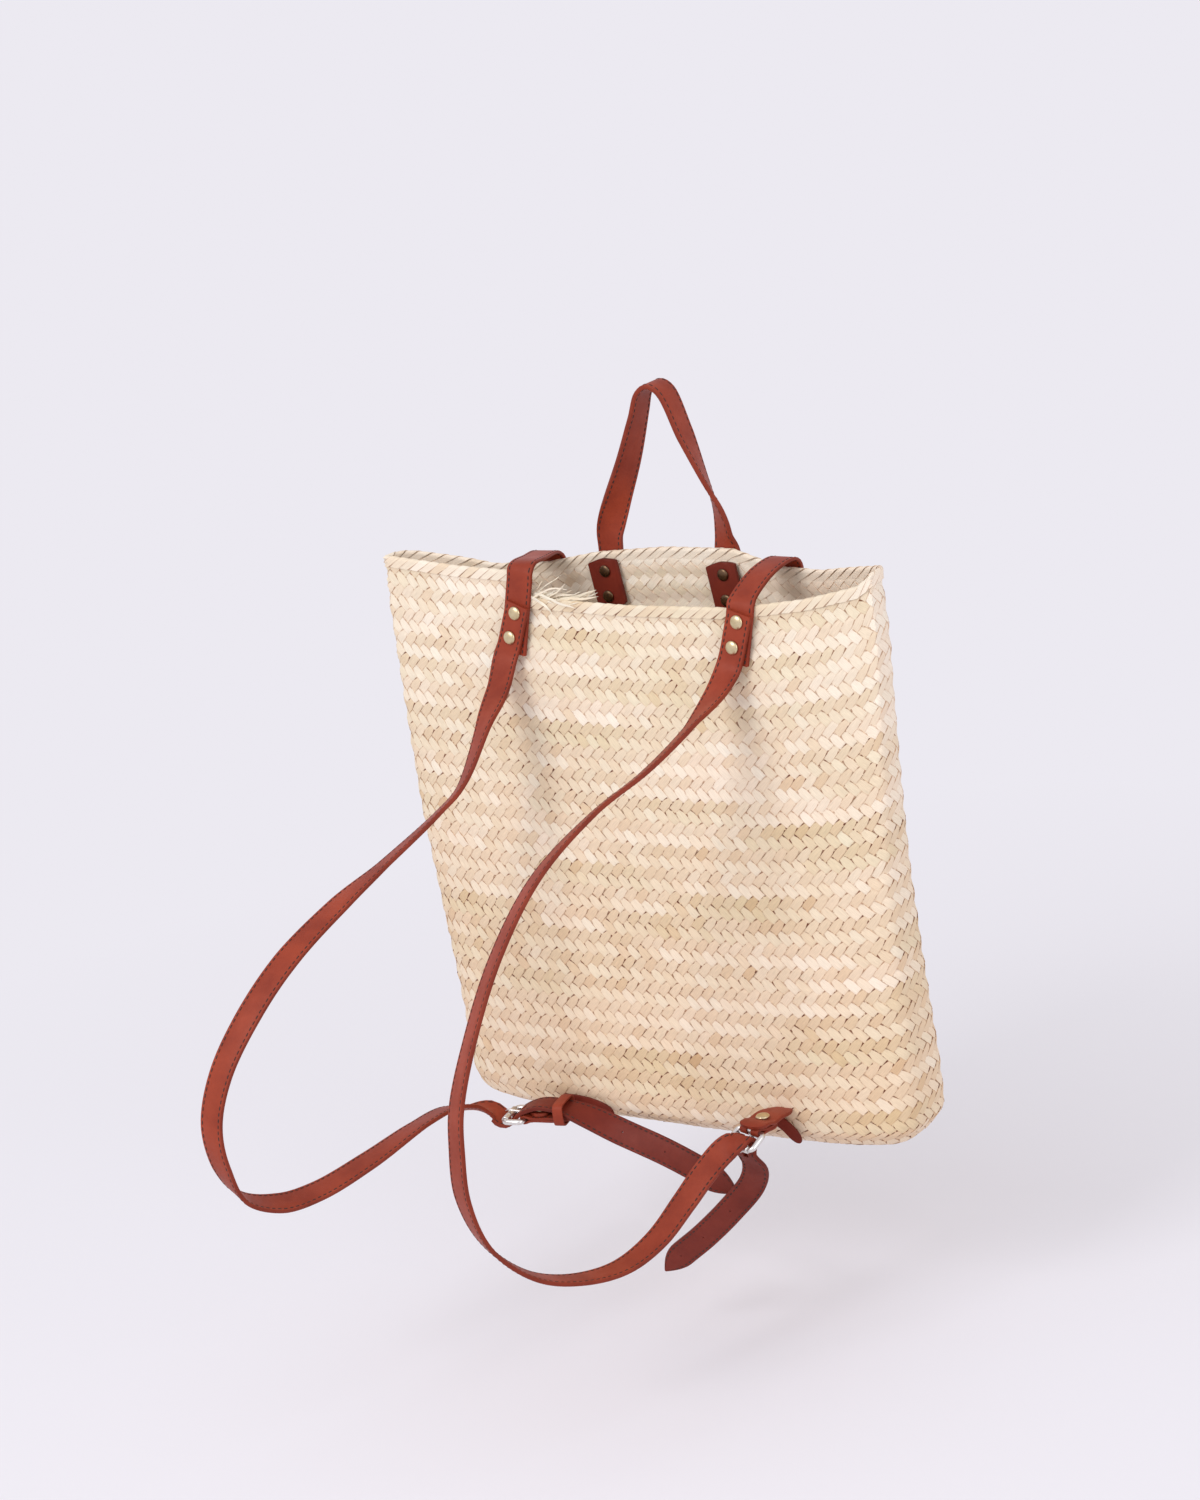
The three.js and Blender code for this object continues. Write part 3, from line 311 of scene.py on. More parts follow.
def add_sky():
    world = bpy.data.worlds.new("studio")
    bpy.context.scene.world = world
    world.use_nodes = True
    nodes, add = world.node_tree.nodes, adder(world.node_tree)
    plain = nodes["Background"]
    plain.inputs["Color"].default_value = (*SKY_LIGHT, 1)
    plain.inputs["Strength"].default_value = SKY_STRENGTH
    seen = add("ShaderNodeBackground", {"Color": (*PALE, 1)})
    rays = add("ShaderNodeLightPath").outputs
    either = calc(add, "MAXIMUM", rays["Is Camera Ray"], rays["Is Glossy Ray"])
    mix = add("ShaderNodeMixShader", {0: either, 1: plain.outputs[0], 2: seen.outputs[0]})
    feed(nodes["World Output"].inputs["Surface"], mix.outputs[0])


def mesh_from(bm, name):
    mesh = bpy.data.meshes.new(name)
    bm.to_mesh(mesh)
    bm.free()
    return mesh


def add_floor():
    bm = bmesh.new()
    bmesh.ops.create_circle(bm, cap_ends=True, segments=64, radius=FLOOR_RADIUS)
    bmesh.ops.translate(bm, verts=bm.verts, vec=(0, FLOOR_MIDDLE_Y, floor_height))
    floor = linked("floor", mesh_from(bm, "floor"))
    material, shader, add = new_material("pale_floor")
    shader.inputs["Base Color"].default_value = (*FLOOR_COLOUR, 1)
    shader.inputs["Roughness"].default_value = 0.9
    shader.inputs["Specular IOR Level"].default_value = 0.1
    place = add("ShaderNodeTexCoord").outputs["Object"]
    centred = {"Vector": place, "Location": (0, -FLOOR_MIDDLE_Y, -floor_height)}
    middle = add("ShaderNodeMapping", centred).outputs[0]
    away = add("ShaderNodeVectorMath", {0: middle}, operation="LENGTH").outputs["Value"]
    glow = add("ShaderNodeEmission", {"Color": (*PALE, 1), "Strength": 1.0}).outputs[0]
    glowing = ranged(add, away, 0.2, 1.2, 0.1, 1)
    mix = add("ShaderNodeMixShader", {0: glowing, 1: shader.outputs[0], 2: glow})
    feed(material.node_tree.nodes["Material Output"].inputs["Surface"], mix.outputs[0])
    floor.data.materials.append(material)


def add_lamp(name, place, aim, size, power):
    lamp = linked(name, bpy.data.lights.new(name, "AREA"))
    lamp.data.size = size
    lamp.data.energy = power
    lamp.location = place
    lamp.rotation_euler = (Vector(aim) - Vector(place)).to_track_quat("-Z", "Y").to_euler()


BAG_MIDDLE = (0, -0.06, -0.30)
bpy.context.scene.view_settings.view_transform = "Standard"
add_sky()
add_floor()
add_lamp("key", (-0.5, -2.4, 1.5), BAG_MIDDLE, 1.2, 32)
add_lamp("fill", (2.4, -1.0, 0.6), BAG_MIDDLE, 1.6, 15)
print("floor at", round(floor_height, 3))

# %% [markdown]
# ## Straw
# Palm leaf is pale cream with tan, pink and greenish strips, fine lines along the fibre and a brown edge
# where a strip was split. Where a strip dives under its neighbour, the shade in the gap is painted in as a
# small brown wedge. One noise over the whole bag would ignore the strips, so every strip carries its own
# tint in an attribute. The fibre and the painted gap shade follow a UV map that runs along the strip, so
# they turn with the plait.

# %% Straw material
STRIP_TINT = "strip_tint"
STRIP_UV = "strip"
LEAF_TONES = [
    (0.0, (0.58, 0.37, 0.20)),
    (0.35, (0.715, 0.535, 0.35)),
    (0.7, (0.815, 0.69, 0.53)),
    (1.0, (0.905, 0.84, 0.735)),
]
LEAF_PINK = (1.0, 0.87, 0.80)
LEAF_GREEN = (0.93, 0.97, 0.80)
EDGE_BROWN = (0.50, 0.26, 0.13)
# Painted shade in the gaps where strips dive: a dark brown, an orange-brown for pale strips, and how far the
# painted wedge reaches.
SHADE_GAP_BROWN = (0.13, 0.030, 0.012)
SHADE_GAP_ORANGE = (0.34, 0.14, 0.052)
SHADE_GAP_WIDTH = 1.55
OWN_SHIFT = (900, 0, 0)


def painted_gap_shade(add, along, off, patchy, tone, own):
    """Share of the painted shade at a strip's dive: a brown wedge at its side, weaker on some strips."""
    opening = ranged(add, along, 1.2, 6.6, 0, SHADE_GAP_WIDTH)
    closing = ranged(add, along, 6.9, 8.0, SHADE_GAP_WIDTH, 0)
    reach = calc(add, "ADD", off, calc(add, "MINIMUM", opening, closing))
    share = calc(add, "MULTIPLY", ranged(add, reach, 3.2, 3.5, 0, 1), ranged(add, patchy, 0.38, 0.52, 0, 1))
    share = calc(add, "MULTIPLY", share, ranged(add, tone, 0.88, 0.55, 0.5, 1))
    return calc(add, "MULTIPLY", share, ranged(add, own, 0.0, 0.4, 0.3, 1))


def straw_material():
    material, shader, add = new_material("straw")
    tint = add("ShaderNodeAttribute", attribute_name=STRIP_TINT)
    parts = add("ShaderNodeSeparateColor", {"Color": tint.outputs["Color"]}).outputs
    tone, own = parts["Red"], tint.outputs["Alpha"]
    leaf = ramp_of(add, tone, LEAF_TONES)
    leaf = mixed(add, "MULTIPLY", parts["Green"], leaf, LEAF_PINK)
    leaf = mixed(add, "MULTIPLY", parts["Blue"], leaf, LEAF_GREEN)
    place = add("ShaderNodeUVMap", uv_map=STRIP_UV).outputs["UV"]
    shift = add("ShaderNodeCombineXYZ", {"X": own}).outputs[0]
    shift = add("ShaderNodeVectorMath", {0: shift, 1: OWN_SHIFT}, operation="MULTIPLY").outputs[0]
    shifted = add("ShaderNodeVectorMath", {0: place, 1: shift}, operation="ADD").outputs[0]
    drawn = add("ShaderNodeMapping", {"Vector": shifted, "Scale": (0.12, 2.2, 1)}).outputs[0]
    lines = {"Vector": drawn, "Scale": 1.0, "Detail": 4.0, "Roughness": 0.6}
    fibre = add("ShaderNodeTexNoise", lines).outputs["Fac"]
    light = ranged(add, fibre, 0.3, 0.7, 0.85, 1.06)
    shade = add("ShaderNodeCombineColor", {"Red": light, "Green": light, "Blue": light}).outputs[0]
    leaf = mixed(add, "MULTIPLY", 1.0, leaf, shade)
    patchy = add("ShaderNodeTexNoise", {"Vector": shifted, "Scale": 0.3, "Detail": 2.0}).outputs["Fac"]
    sides = add("ShaderNodeSeparateXYZ", {"Vector": place}).outputs
    off = calc(add, "ABSOLUTE", sides["Y"])
    edge = calc(add, "MULTIPLY", ranged(add, off, 2.85, 3.15, 0, 0.6), ranged(add, patchy, 0.4, 0.6, 0.2, 1))
    leaf = mixed(add, "MIX", edge, leaf, EDGE_BROWN)
    # Painted shade: the gap where a strip dives under its neighbour is painted dark brown, more orange on
    # pale strips.
    gap_shade = mixed(add, "MIX", ranged(add, tone, 0.55, 0.85, 0, 1), SHADE_GAP_BROWN, SHADE_GAP_ORANGE)
    leaf = mixed(add, "MIX", painted_gap_shade(add, sides["X"], off, patchy, tone, own), leaf, gap_shade)
    feed(shader.inputs["Base Color"], leaf)
    feed(shader.inputs["Roughness"], ranged(add, fibre, 0.3, 0.7, 0.66, 0.5))
    shader.inputs["Specular IOR Level"].default_value = 0.25
    bump = add("ShaderNodeBump", {"Height": fibre, "Strength": 0.3, "Distance": 0.0006})
    feed(shader.inputs["Normal"], bump.outputs[0])
    return material


straw = straw_material()
print("made", straw.name)

# %% [markdown]
# ## The basket's wall as a map
# The braid runs round the bag in one long spiral: it starts at the middle of the base and climbs one row
# at each turn, until it ends at the step beside the left strap. So the plait is laid out flat first, in
# columns and rows, and a table of the wall's points says where each column and row lies on the bag. A
# curve could carry the braid too, but the table also knows the uneven rim and the rounded base edge.

# %% Map of rows and columns
PANEL_COLUMNS = 46
COLUMNS = 2 * PANEL_COLUMNS
STEP_COLUMN = 14
ROWS = 26
RIM_ROW = ROWS - 1
ROW_HEIGHT = 17.5
TABLE_STEP = 4
STEP_SHARE = 2 * STEP_COLUMN / PANEL_COLUMNS - 1
# The rim's drop below the basket's height, at shares of the half width.
NEAR_RIM = ((-1, 1), (-0.7, 7), (STEP_SHARE, 10), (STEP_SHARE + 0.001, 29), (0, 32), (0.444, 31),
            (0.724, 23), (0.935, 13), (1, 4))
FAR_RIM = ((-1, 1), (-0.91, 8), (-0.7, 19), (-0.49, 18), (-0.285, 10), (0, 5), (0.276, 5), (0.463, 17),
           (0.64, 18), (0.888, 10), (1, 4))


def turn_share(share, side):
    """How much of the spiral's turn lies behind a place on the rim."""
    if side == NEAR:
        column = (share + 1) / 2 * PANEL_COLUMNS - STEP_COLUMN
        column = np.where(column < 0, column + COLUMNS, column)
    else:
        column = PANEL_COLUMNS - STEP_COLUMN + (1 - share) / 2 * PANEL_COLUMNS
    return column / COLUMNS


def full_height(share, side):
    """Height of the full rows: the rim, and what the spiral's last turn still lacks."""
    places, drops = zip(*(NEAR_RIM if side == NEAR else FAR_RIM))
    lacking = (1 - turn_share(share, side)) * ROW_HEIGHT
    return BASKET_HEIGHT - np.interp(share, places, drops) + lacking


def even_panel(level, side):
    """One level of a panel, at even distances, from the left corner or, on the far side, the right."""
    shares = -np.cos(np.linspace(0, np.pi, 801)) * -side
    kind, value = level
    if kind == "base":
        points = wall_point(shares, 0.0, side, value)
    elif kind == "edge":
        z = BASE_EDGE_RADIUS * (1 - math.cos(value))
        points = wall_point(shares, z, side, BASE_EDGE_RADIUS * (1 - math.sin(value)))
    else:
        points = wall_point(shares, lerp(BASE_EDGE_RADIUS, full_height(shares, side), value), side)
    steps = np.linalg.norm(np.diff(points, axis=0), axis=1)
    run = np.concatenate(([0], np.cumsum(steps)))
    wanted = np.linspace(0, run[-1], PANEL_COLUMNS * TABLE_STEP + 1)[:-1]
    return np.stack([np.interp(wanted, run, points[:, k]) for k in range(3)], axis=1)


def wall_table():
    flat = BASE_HALF_DEPTH - BASE_EDGE_RADIUS
    corner = BASE_EDGE_RADIUS * math.pi / 2
    wall = ROWS * ROW_HEIGHT - flat - corner
    levels = [(("base", BASE_HALF_DEPTH - flat * k / 8), flat * k / 8) for k in range(8)]
    levels += [(("edge", math.pi / 2 * k / 10), flat + corner * k / 10) for k in range(10)]
    levels += [(("wall", k / 60), flat + corner + wall * k / 60) for k in range(66)]
    places = np.array([place for _, place in levels]) / ROW_HEIGHT
    points = np.stack([np.concatenate((even_panel(lv, NEAR), even_panel(lv, FAR))) for lv, _ in levels])
    round_way = np.roll(points, -1, axis=1) - np.roll(points, 1, axis=1)
    normals = np.cross(round_way, np.gradient(points, axis=0))
    normals /= np.maximum(np.linalg.norm(normals, axis=2, keepdims=True), 1e-9)
    return places, points, normals


level_rows, wall_points, wall_normals = wall_table()


def on_wall(column, row, height):
    """Points at a column and a row of the flat plait, and a height above the wall, in millimetres."""
    climb = np.maximum(row + column / COLUMNS, 0)
    level = np.interp(climb, level_rows, np.arange(len(level_rows)))
    place = (column + STEP_COLUMN) % COLUMNS * TABLE_STEP
    level0 = np.minimum(level.astype(int), len(level_rows) - 2)
    place0 = place.astype(int)
    up = (level - level0)[:, None]
    side = (place - place0)[:, None]
    count = wall_points.shape[1]
    place0 %= count
    place1 = (place0 + 1) % count

    def read(table):
        low = lerp(table[level0, place0], table[level0, place1], side)
        high = lerp(table[level0 + 1, place0], table[level0 + 1, place1], side)
        return lerp(low, high, up)

    return read(wall_points) + read(wall_normals) * height[:, None]


print("table of", wall_points.shape[:2], "wall points, up to row", round(level_rows[-1], 2))

# %% [markdown]
# ## The plait
# Each strip passes over two others and under the next two, and its neighbour does the same one place on:
# the herringbone. A bump texture would look flat at the outline, so the strips are real. One wave of a
# strip is modelled once as a thin slab, and two Array modifiers repeat it along the columns and up the
# rows, once for each way the strips lean.

# %% One wave of a strip
STRIP_STOPS = (-2.05, -1.65, -1.35, -1.05, -0.75, -0.4, 0, 0.4, 0.75, 1.05, 1.35, 1.65, 2.05)
STRIP_LANES = (-0.5, 0, 0.5)
STRIP_THICKNESS = 0.7
STRIP_WIDTH = 6.5
STRIP_CELL = 6.6
WAVE = 0.48
CROWN = 0.07
rng = np.random.default_rng(7)


def lay_uv(bm, along, across):
    """A UV map that runs along a flat strip, in millimetres."""
    layer = bm.loops.layers.uv.new(STRIP_UV)
    for face in bm.faces:
        for loop in face.loops:
            loop[layer].uv = (loop.vert.co.x * along, loop.vert.co.y * across)


def thickened(bm, geom, thickness):
    """Flat faces drawn up into a closed slab."""
    made = bmesh.ops.extrude_face_region(bm, geom=geom)
    lifted = [v for v in made["geom"] if isinstance(v, bmesh.types.BMVert)]
    bmesh.ops.translate(bm, verts=lifted, vec=(0, 0, thickness))
    bmesh.ops.recalc_face_normals(bm, faces=bm.faces)


def strip_wave(leaning):
    """The slab of one wave. x counts columns and y rows; leaning is 1 for a strip that climbs."""
    bm = bmesh.new()
    bmesh.ops.create_grid(bm, x_segments=len(STRIP_STOPS) - 1, y_segments=len(STRIP_LANES) - 1, size=0.5)
    for v in bm.verts:
        along = STRIP_STOPS[round((v.co.x + 0.5) * (len(STRIP_STOPS) - 1))]
        across = STRIP_LANES[round((v.co.y + 0.5) * (len(STRIP_LANES) - 1))]
        v.co = (along, across, 0)
    lay_uv(bm, leaning * STRIP_CELL, STRIP_WIDTH)
    thickened(bm, bm.faces[:], STRIP_THICKNESS)
    for v in bm.verts:
        along, across, z = v.co
        swing = math.cos(math.pi * along / 2)
        swing /= math.sqrt(swing * swing + 0.35) / math.sqrt(1.35)
        z += WAVE * swing - STRIP_THICKNESS / 2 - CROWN * (2 * across) ** 2 * (1 if swing > 0 else -1)
        v.co = (0.5 * along + 0.5 * across, 0.25 * leaning * (along - across), z)
    if leaning < 0:
        bmesh.ops.reverse_faces(bm, faces=bm.faces)
    return mesh_from(bm, "strip")


def repeated(mesh, *arrays):
    """Copies of a small mesh, from pairs of a count and a step, as a new mesh."""
    thing = linked("repeat", mesh)
    for count, step in arrays:
        array = thing.modifiers.new("repeat", "ARRAY")
        array.count = count
        array.use_relative_offset = False
        array.use_constant_offset = True
        array.constant_offset_displace = step
    made = bpy.data.meshes.new_from_object(thing.evaluated_get(bpy.context.evaluated_depsgraph_get()))
    bpy.data.objects.remove(thing)
    return made


def carpet(mesh, first_row, rows):
    """One wave over all columns and some rows, as a new flat mesh."""
    made = repeated(mesh, (COLUMNS, (1, 0, 0)), (rows, (0, 1, 0)))
    made.transform(Matrix.Translation((0, first_row, 0)))
    return made


for leaning in (-1, 1):
    print("one wave:", len(strip_wave(leaning).polygons), "faces")

# %% [markdown]
# ## From the flat carpet to the bag
# A Lattice or Curve modifier could bend the carpet, but the bag has corners and an uneven rim. So each
# point of the carpet is looked up in the wall's table. On the way every strip gets a width, a tilt and a
# tint of its own from seeded numbers, which keeps the plait from looking printed.

# %% Wrap the plait round the bag
SHARP_ANGLE = math.radians(50)
WALL_MIDDLE = -2.2
ROW_BULGE = 0.5
ROW_PHASES = rng.uniform(0, 1, (ROWS + 4, 4))


def read_points(mesh):
    points = np.empty(len(mesh.vertices) * 3, np.float32)
    mesh.vertices.foreach_get("co", points)
    return points.reshape(-1, 3).astype(float)


def write_points(mesh, points):
    mesh.vertices.foreach_set("co", np.asarray(points, np.float32).ravel())
    mesh.update()


def add_tints(mesh, strip_of_point, tints):
    attribute = mesh.attributes.new(STRIP_TINT, "FLOAT_COLOR", "POINT")
    attribute.data.foreach_set("color", tints[strip_of_point].astype(np.float32).ravel())


def strip_tints(columns, rows, leaning=0):
    """Tone, pink and green of each strip, and a number of its own: slow changes along a row, and small ones.

    Strips get darker and pinker towards the base. The upper rows of the far panel, whose inside shows
    in the mouth, are painted paler and warmer: painted light, for the light that falls into the mouth and
    bounces between the straws there.
    """
    count = len(columns)
    row_index = np.clip(np.floor(rows).astype(int) + 2, 0, ROWS + 3)

    def slow(size):
        value = np.zeros(count)
        for k in (1, 2, 3):
            turns = 1.9 * k * columns / COLUMNS
            value += size / k * np.sin(2 * np.pi * (turns + ROW_PHASES[row_index, k]))
        return value

    low = np.clip(1 - rows / ROWS, 0, 1)
    # Painted light: the far panel's upper rows, seen inside the mouth, are made paler, pinker and less
    # green.
    inside = ((columns + STEP_COLUMN) % COLUMNS >= PANEL_COLUMNS) * np.clip((rows - ROWS + 15) / 9, 0, 1)
    tone = 0.768 - (0.03 + 0.04 * low) * leaning + slow(0.10) + rng.normal(0, 0.06, count)
    tone = tone - 0.18 * low + 0.21 * inside
    odd = rng.uniform(0, 1, count) < 0.03
    tone = np.clip(np.where(odd, tone - 0.18, tone), 0, 1)
    pink = 0.1 + 0.5 * low + 0.05 * leaning + 0.35 * inside + slow(0.16) + rng.normal(0, 0.07, count)
    green = -0.08 - 0.2 * inside - slow(0.19) + rng.normal(0, 0.07, count)
    own = rng.uniform(0, 1, count)
    return np.stack((tone, np.clip(pink, 0, 1), np.clip(green, 0, 1), own), axis=1)


def wrapped_strips(leaning, first_row, rows):
    centre = (-0.25, 0.125) if leaning < 0 else (0.25, 0.625)
    wave = strip_wave(leaning)
    size = len(wave.vertices)
    mesh = carpet(wave, first_row, rows)
    points = read_points(mesh)
    strip_of_point = np.arange(len(points)) // size
    count = strip_of_point[-1] + 1
    columns = strip_of_point % COLUMNS
    lattice_rows = first_row + strip_of_point // COLUMNS
    local = points - np.stack((columns, lattice_rows, np.zeros(len(points))), axis=1)
    along = local[:, 0] + leaning * 2 * local[:, 1]
    across = local[:, 0] - leaning * 2 * local[:, 1]
    width = rng.uniform(0.98, 1.06, count)[strip_of_point]
    across = across * width + rng.normal(0, 0.03, count)[strip_of_point]
    tilt = rng.normal(0, 0.2, count)[strip_of_point]
    lift = rng.normal(0, 0.06, count)[strip_of_point]
    x = columns + centre[0] + 0.5 * (along + across)
    y = lattice_rows + centre[1] + 0.25 * leaning * (along - across)
    height = local[:, 2] + tilt * across + lift + WALL_MIDDLE
    height += ROW_BULGE * np.cos(2 * np.pi * (y - 0.875))
    y = np.minimum(y, RIM_ROW)
    write_points(mesh, to_frame(on_wall(x, y, height)))
    index = np.arange(count)
    add_tints(mesh, strip_of_point, strip_tints(index % COLUMNS, first_row + index // COLUMNS, leaning))
    return mesh


def joined_object(name, meshes, material):
    """One object from several meshes, all with the same material."""
    bm = bmesh.new()
    for mesh in meshes:
        bm.from_mesh(mesh)
    whole = mesh_from(bm, name)
    whole.materials.append(material)
    whole.shade_smooth()
    whole.set_sharp_from_angle(angle=SHARP_ANGLE)
    return linked(name, whole)


def dress(thing, body, slot, *nodes):
    """The piece moves with a body and stands for CAD nodes, which are hidden; its slot is not used."""
    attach(thing, body)
    if nodes:
        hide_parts(*nodes)
    return thing


PLAIT_PARTS = (("plait_base", -1, 7), ("plait_low", 6, 7), ("plait_middle", 13, 6), ("plait_top", 19, 6))
for name, first_row, rows in PLAIT_PARTS:
    extra = 1 if name == "plait_top" else 0
    strips = [wrapped_strips(-1, first_row, rows + extra), wrapped_strips(1, first_row, rows)]
    plait = dress(joined_object(name, strips, straw), "bag", "straw", "straw_basket")
    print(name, 2 * len(plait.data.polygons), "triangles")

# %% [markdown]
# ## The rim
# At the last row the strips turn over the edge and go back down inside, so the rim looks like a row of
# slanting wraps. Bending the plait itself over the edge would tangle its strips, so each wrap is a flat
# strip of its own, bent like a hairpin over the edge and laid on the same table of the wall.

# %% Rim wraps
WRAP_STEPS = 16
WRAP_REACH = 0.36
WRAP_LEAN = 2.7
WRAP_RADIUS = 1.6
WRAP_UV_LENGTH = 9


def wrap_strip():
    bm = bmesh.new()
    bmesh.ops.create_grid(bm, x_segments=WRAP_STEPS, y_segments=2, size=0.5)
    lay_uv(bm, -WRAP_UV_LENGTH, STRIP_WIDTH)
    thickened(bm, bm.faces[:], STRIP_THICKNESS)
    return mesh_from(bm, "wrap")


def rim_wraps():
    wrap = wrap_strip()
    size = len(wrap.vertices)
    mesh = carpet(wrap, 0, 1)
    points = read_points(mesh)
    strip_of_point = np.arange(len(points)) // size
    count = strip_of_point[-1] + 1
    along = (points[:, 0] - strip_of_point) * 2
    across = points[:, 1] * rng.uniform(0.9, 1.02, count)[strip_of_point]
    thick = points[:, 2]
    straight = WRAP_REACH * ROW_HEIGHT
    half = straight + WRAP_RADIUS * math.pi / 2
    run = along * half
    turn = np.clip(run / WRAP_RADIUS, -math.pi / 2, math.pi / 2)
    radius = WRAP_RADIUS + thick - STRIP_THICKNESS / 2
    down = np.maximum(np.abs(run) - WRAP_RADIUS * math.pi / 2, 0)
    up = radius * np.cos(turn) - down
    out = -radius * np.sin(turn) * (1 - 0.3 * down / straight) + WALL_MIDDLE + 0.4
    x = strip_of_point + 0.35 + WRAP_LEAN * 0.5 * along + across * 0.98
    y = RIM_ROW - 0.05 + up / ROW_HEIGHT - 0.03 * across
    out += 0.2 * across
    write_points(mesh, to_frame(on_wall(x, y, out)))
    index = np.arange(count)
    add_tints(mesh, strip_of_point, strip_tints(index, np.full(count, RIM_ROW)))
    return mesh


rim = dress(joined_object("rim_wraps", [rim_wraps()], straw), "bag", "straw", "straw_basket")
print("rim_wraps", 2 * len(rim.data.polygons), "triangles")

# %% [markdown]
# ## Leather
# All straps are cut from one brown leather with a fine grain and a slightly darker edge, sewn with a dark
# thread. The free tails, the tabs in the mouth and the strips at the base edge lie in the bag's shade, and
# that shade is painted into their colour: the UV map holds the share of painted shade and the place across
# the strap. Grain and wear are noise in the frame's own coordinates: a picture of leather would have to be
# unwrapped, and would repeat.

# %% Leather and thread materials
HIDE_TONES = [(0.3, (0.225, 0.030, 0.0135)), (0.7, (0.33, 0.049, 0.020))]
HIDE_EDGE = (0.45, 0.35, 0.32)
# Painted shade: the leather's colour is multiplied by this where a strap lies in the bag's shade.
HIDE_PAINTED_SHADE = (0.60, 0.50, 0.60)
THREAD_TONES = [(0.3, (0.028, 0.008, 0.006)), (0.7, (0.060, 0.015, 0.010))]


def leather_material():
    material, shader, add = new_material("leather")
    place = add("ShaderNodeTexCoord").outputs["Object"]
    worn = {"Vector": place, "Scale": 38.0, "Detail": 5.0, "Roughness": 0.6}
    wear = add("ShaderNodeTexNoise", worn).outputs["Fac"]
    hide = ramp_of(add, wear, HIDE_TONES)
    strip = add("ShaderNodeUVMap", uv_map=STRIP_UV).outputs["UV"]
    sides = add("ShaderNodeSeparateXYZ", {"Vector": strip}).outputs
    edge = ranged(add, calc(add, "ABSOLUTE", sides["Y"]), 0.9, 1.0, 0, 0.45)
    hide = mixed(add, "MULTIPLY", edge, hide, HIDE_EDGE)
    # Painted shade: the UV map's first coordinate darkens the tails, the tabs in the mouth and the strips at
    # the base edge.
    hide = mixed(add, "MULTIPLY", sides["X"], hide, HIDE_PAINTED_SHADE)
    feed(shader.inputs["Base Color"], hide)
    grain = add("ShaderNodeTexVoronoi", {"Vector": place, "Scale": 900.0}, feature="DISTANCE_TO_EDGE")
    fine = add("ShaderNodeTexNoise", {"Vector": place, "Scale": 420.0, "Detail": 3.0})
    height = calc(add, "ADD", grain.outputs["Distance"], fine.outputs["Fac"])
    bump = add("ShaderNodeBump", {"Height": height, "Strength": 0.22, "Distance": 0.0004})
    feed(shader.inputs["Normal"], bump.outputs[0])
    feed(shader.inputs["Roughness"], ranged(add, wear, 0.3, 0.7, 0.56, 0.44))
    shader.inputs["Specular IOR Level"].default_value = 0.22
    return material


def thread_material():
    material, shader, add = new_material("thread")
    place = add("ShaderNodeTexCoord").outputs["Object"]
    twist = add("ShaderNodeTexNoise", {"Vector": place, "Scale": 700.0, "Detail": 2.0})
    feed(shader.inputs["Base Color"], ramp_of(add, twist.outputs["Fac"], THREAD_TONES))
    shader.inputs["Roughness"].default_value = 0.7
    return material


leather = leather_material()
thread = thread_material()
print("made", leather.name, "and", thread.name)

# %% [markdown]
# ## The way of a strap
# A strap turns and twists on its way. A curve object with a flat bevel could follow that way, but its twist
# is hard to steer. Here a way is a list of rows: a point and the direction across the strap there. A smooth
# curve joins the points, and flat pieces are bent along it.

# %% Route of a strip
def smooth_route(rows, spacing=1.0):
    """Places along a strip, at even distances, with the directions along, across and out of it."""
    points = np.array([point for point, _ in rows], float)
    wide = np.array([across for _, across in rows], float)
    ends = np.concatenate(([2 * points[0] - points[1]], points, [2 * points[-1] - points[-2]]))
    place = np.linspace(0, len(points) - 1, 40 * len(points))
    span = np.minimum(place.astype(int), len(points) - 2)
    t = (place - span)[:, None]
    p0, p1, p2, p3 = (ends[span + k] for k in range(4))
    spans = ((p0, p1), (p1, p2), (p2, p3))
    d0, d1, d2 = (np.linalg.norm(b - a, axis=1, keepdims=True) ** 0.5 for a, b in spans)
    m1 = ((p1 - p0) / d0 - (p2 - p0) / (d0 + d1) + (p2 - p1) / d1) * d1
    m2 = ((p2 - p1) / d1 - (p3 - p1) / (d1 + d2) + (p3 - p2) / d2) * d1
    bend = (2 * p1 - 2 * p2 + m1 + m2) * t**3 + (3 * p2 - 3 * p1 - 2 * m1 - m2) * t**2 + m1 * t + p1
    turn = lerp(wide[span], wide[span + 1], t)
    run = np.concatenate(([0], np.cumsum(np.linalg.norm(np.diff(bend, axis=0), axis=1))))
    even = np.linspace(0, run[-1], max(3, round(run[-1] / spacing) + 1))
    bend = np.stack([np.interp(even, run, bend[:, k]) for k in range(3)], axis=1)
    turn = np.stack([np.interp(even, run, turn[:, k]) for k in range(3)], axis=1)
    for _ in range(6):
        turn[1:-1] = (turn[:-2] + 2 * turn[1:-1] + turn[2:]) / 4
    along = np.gradient(bend, axis=0)
    along /= np.linalg.norm(along, axis=1, keepdims=True)
    turn -= along * np.sum(along * turn, axis=1, keepdims=True)
    turn /= np.linalg.norm(turn, axis=1, keepdims=True)
    return {"run": even, "length": run[-1], "point": bend, "across": turn, "out": np.cross(along, turn)}


def nearest_run(route, point):
    return route["run"][np.argmin(np.linalg.norm(route["point"] - np.asarray(point), axis=1))]


def bend_along(points, route):
    """Flat points (along, across, up) laid on a route."""
    s = np.clip(points[:, 0], 0, route["length"])

    def read(name):
        return np.stack([np.interp(s, route["run"], route[name][:, k]) for k in range(3)], axis=1)

    past = points[:, :1] - s[:, None]
    way = np.cross(read("across"), read("out"))
    return read("point") + read("across") * points[:, 1:2] + read("out") * points[:, 2:3] + way * past


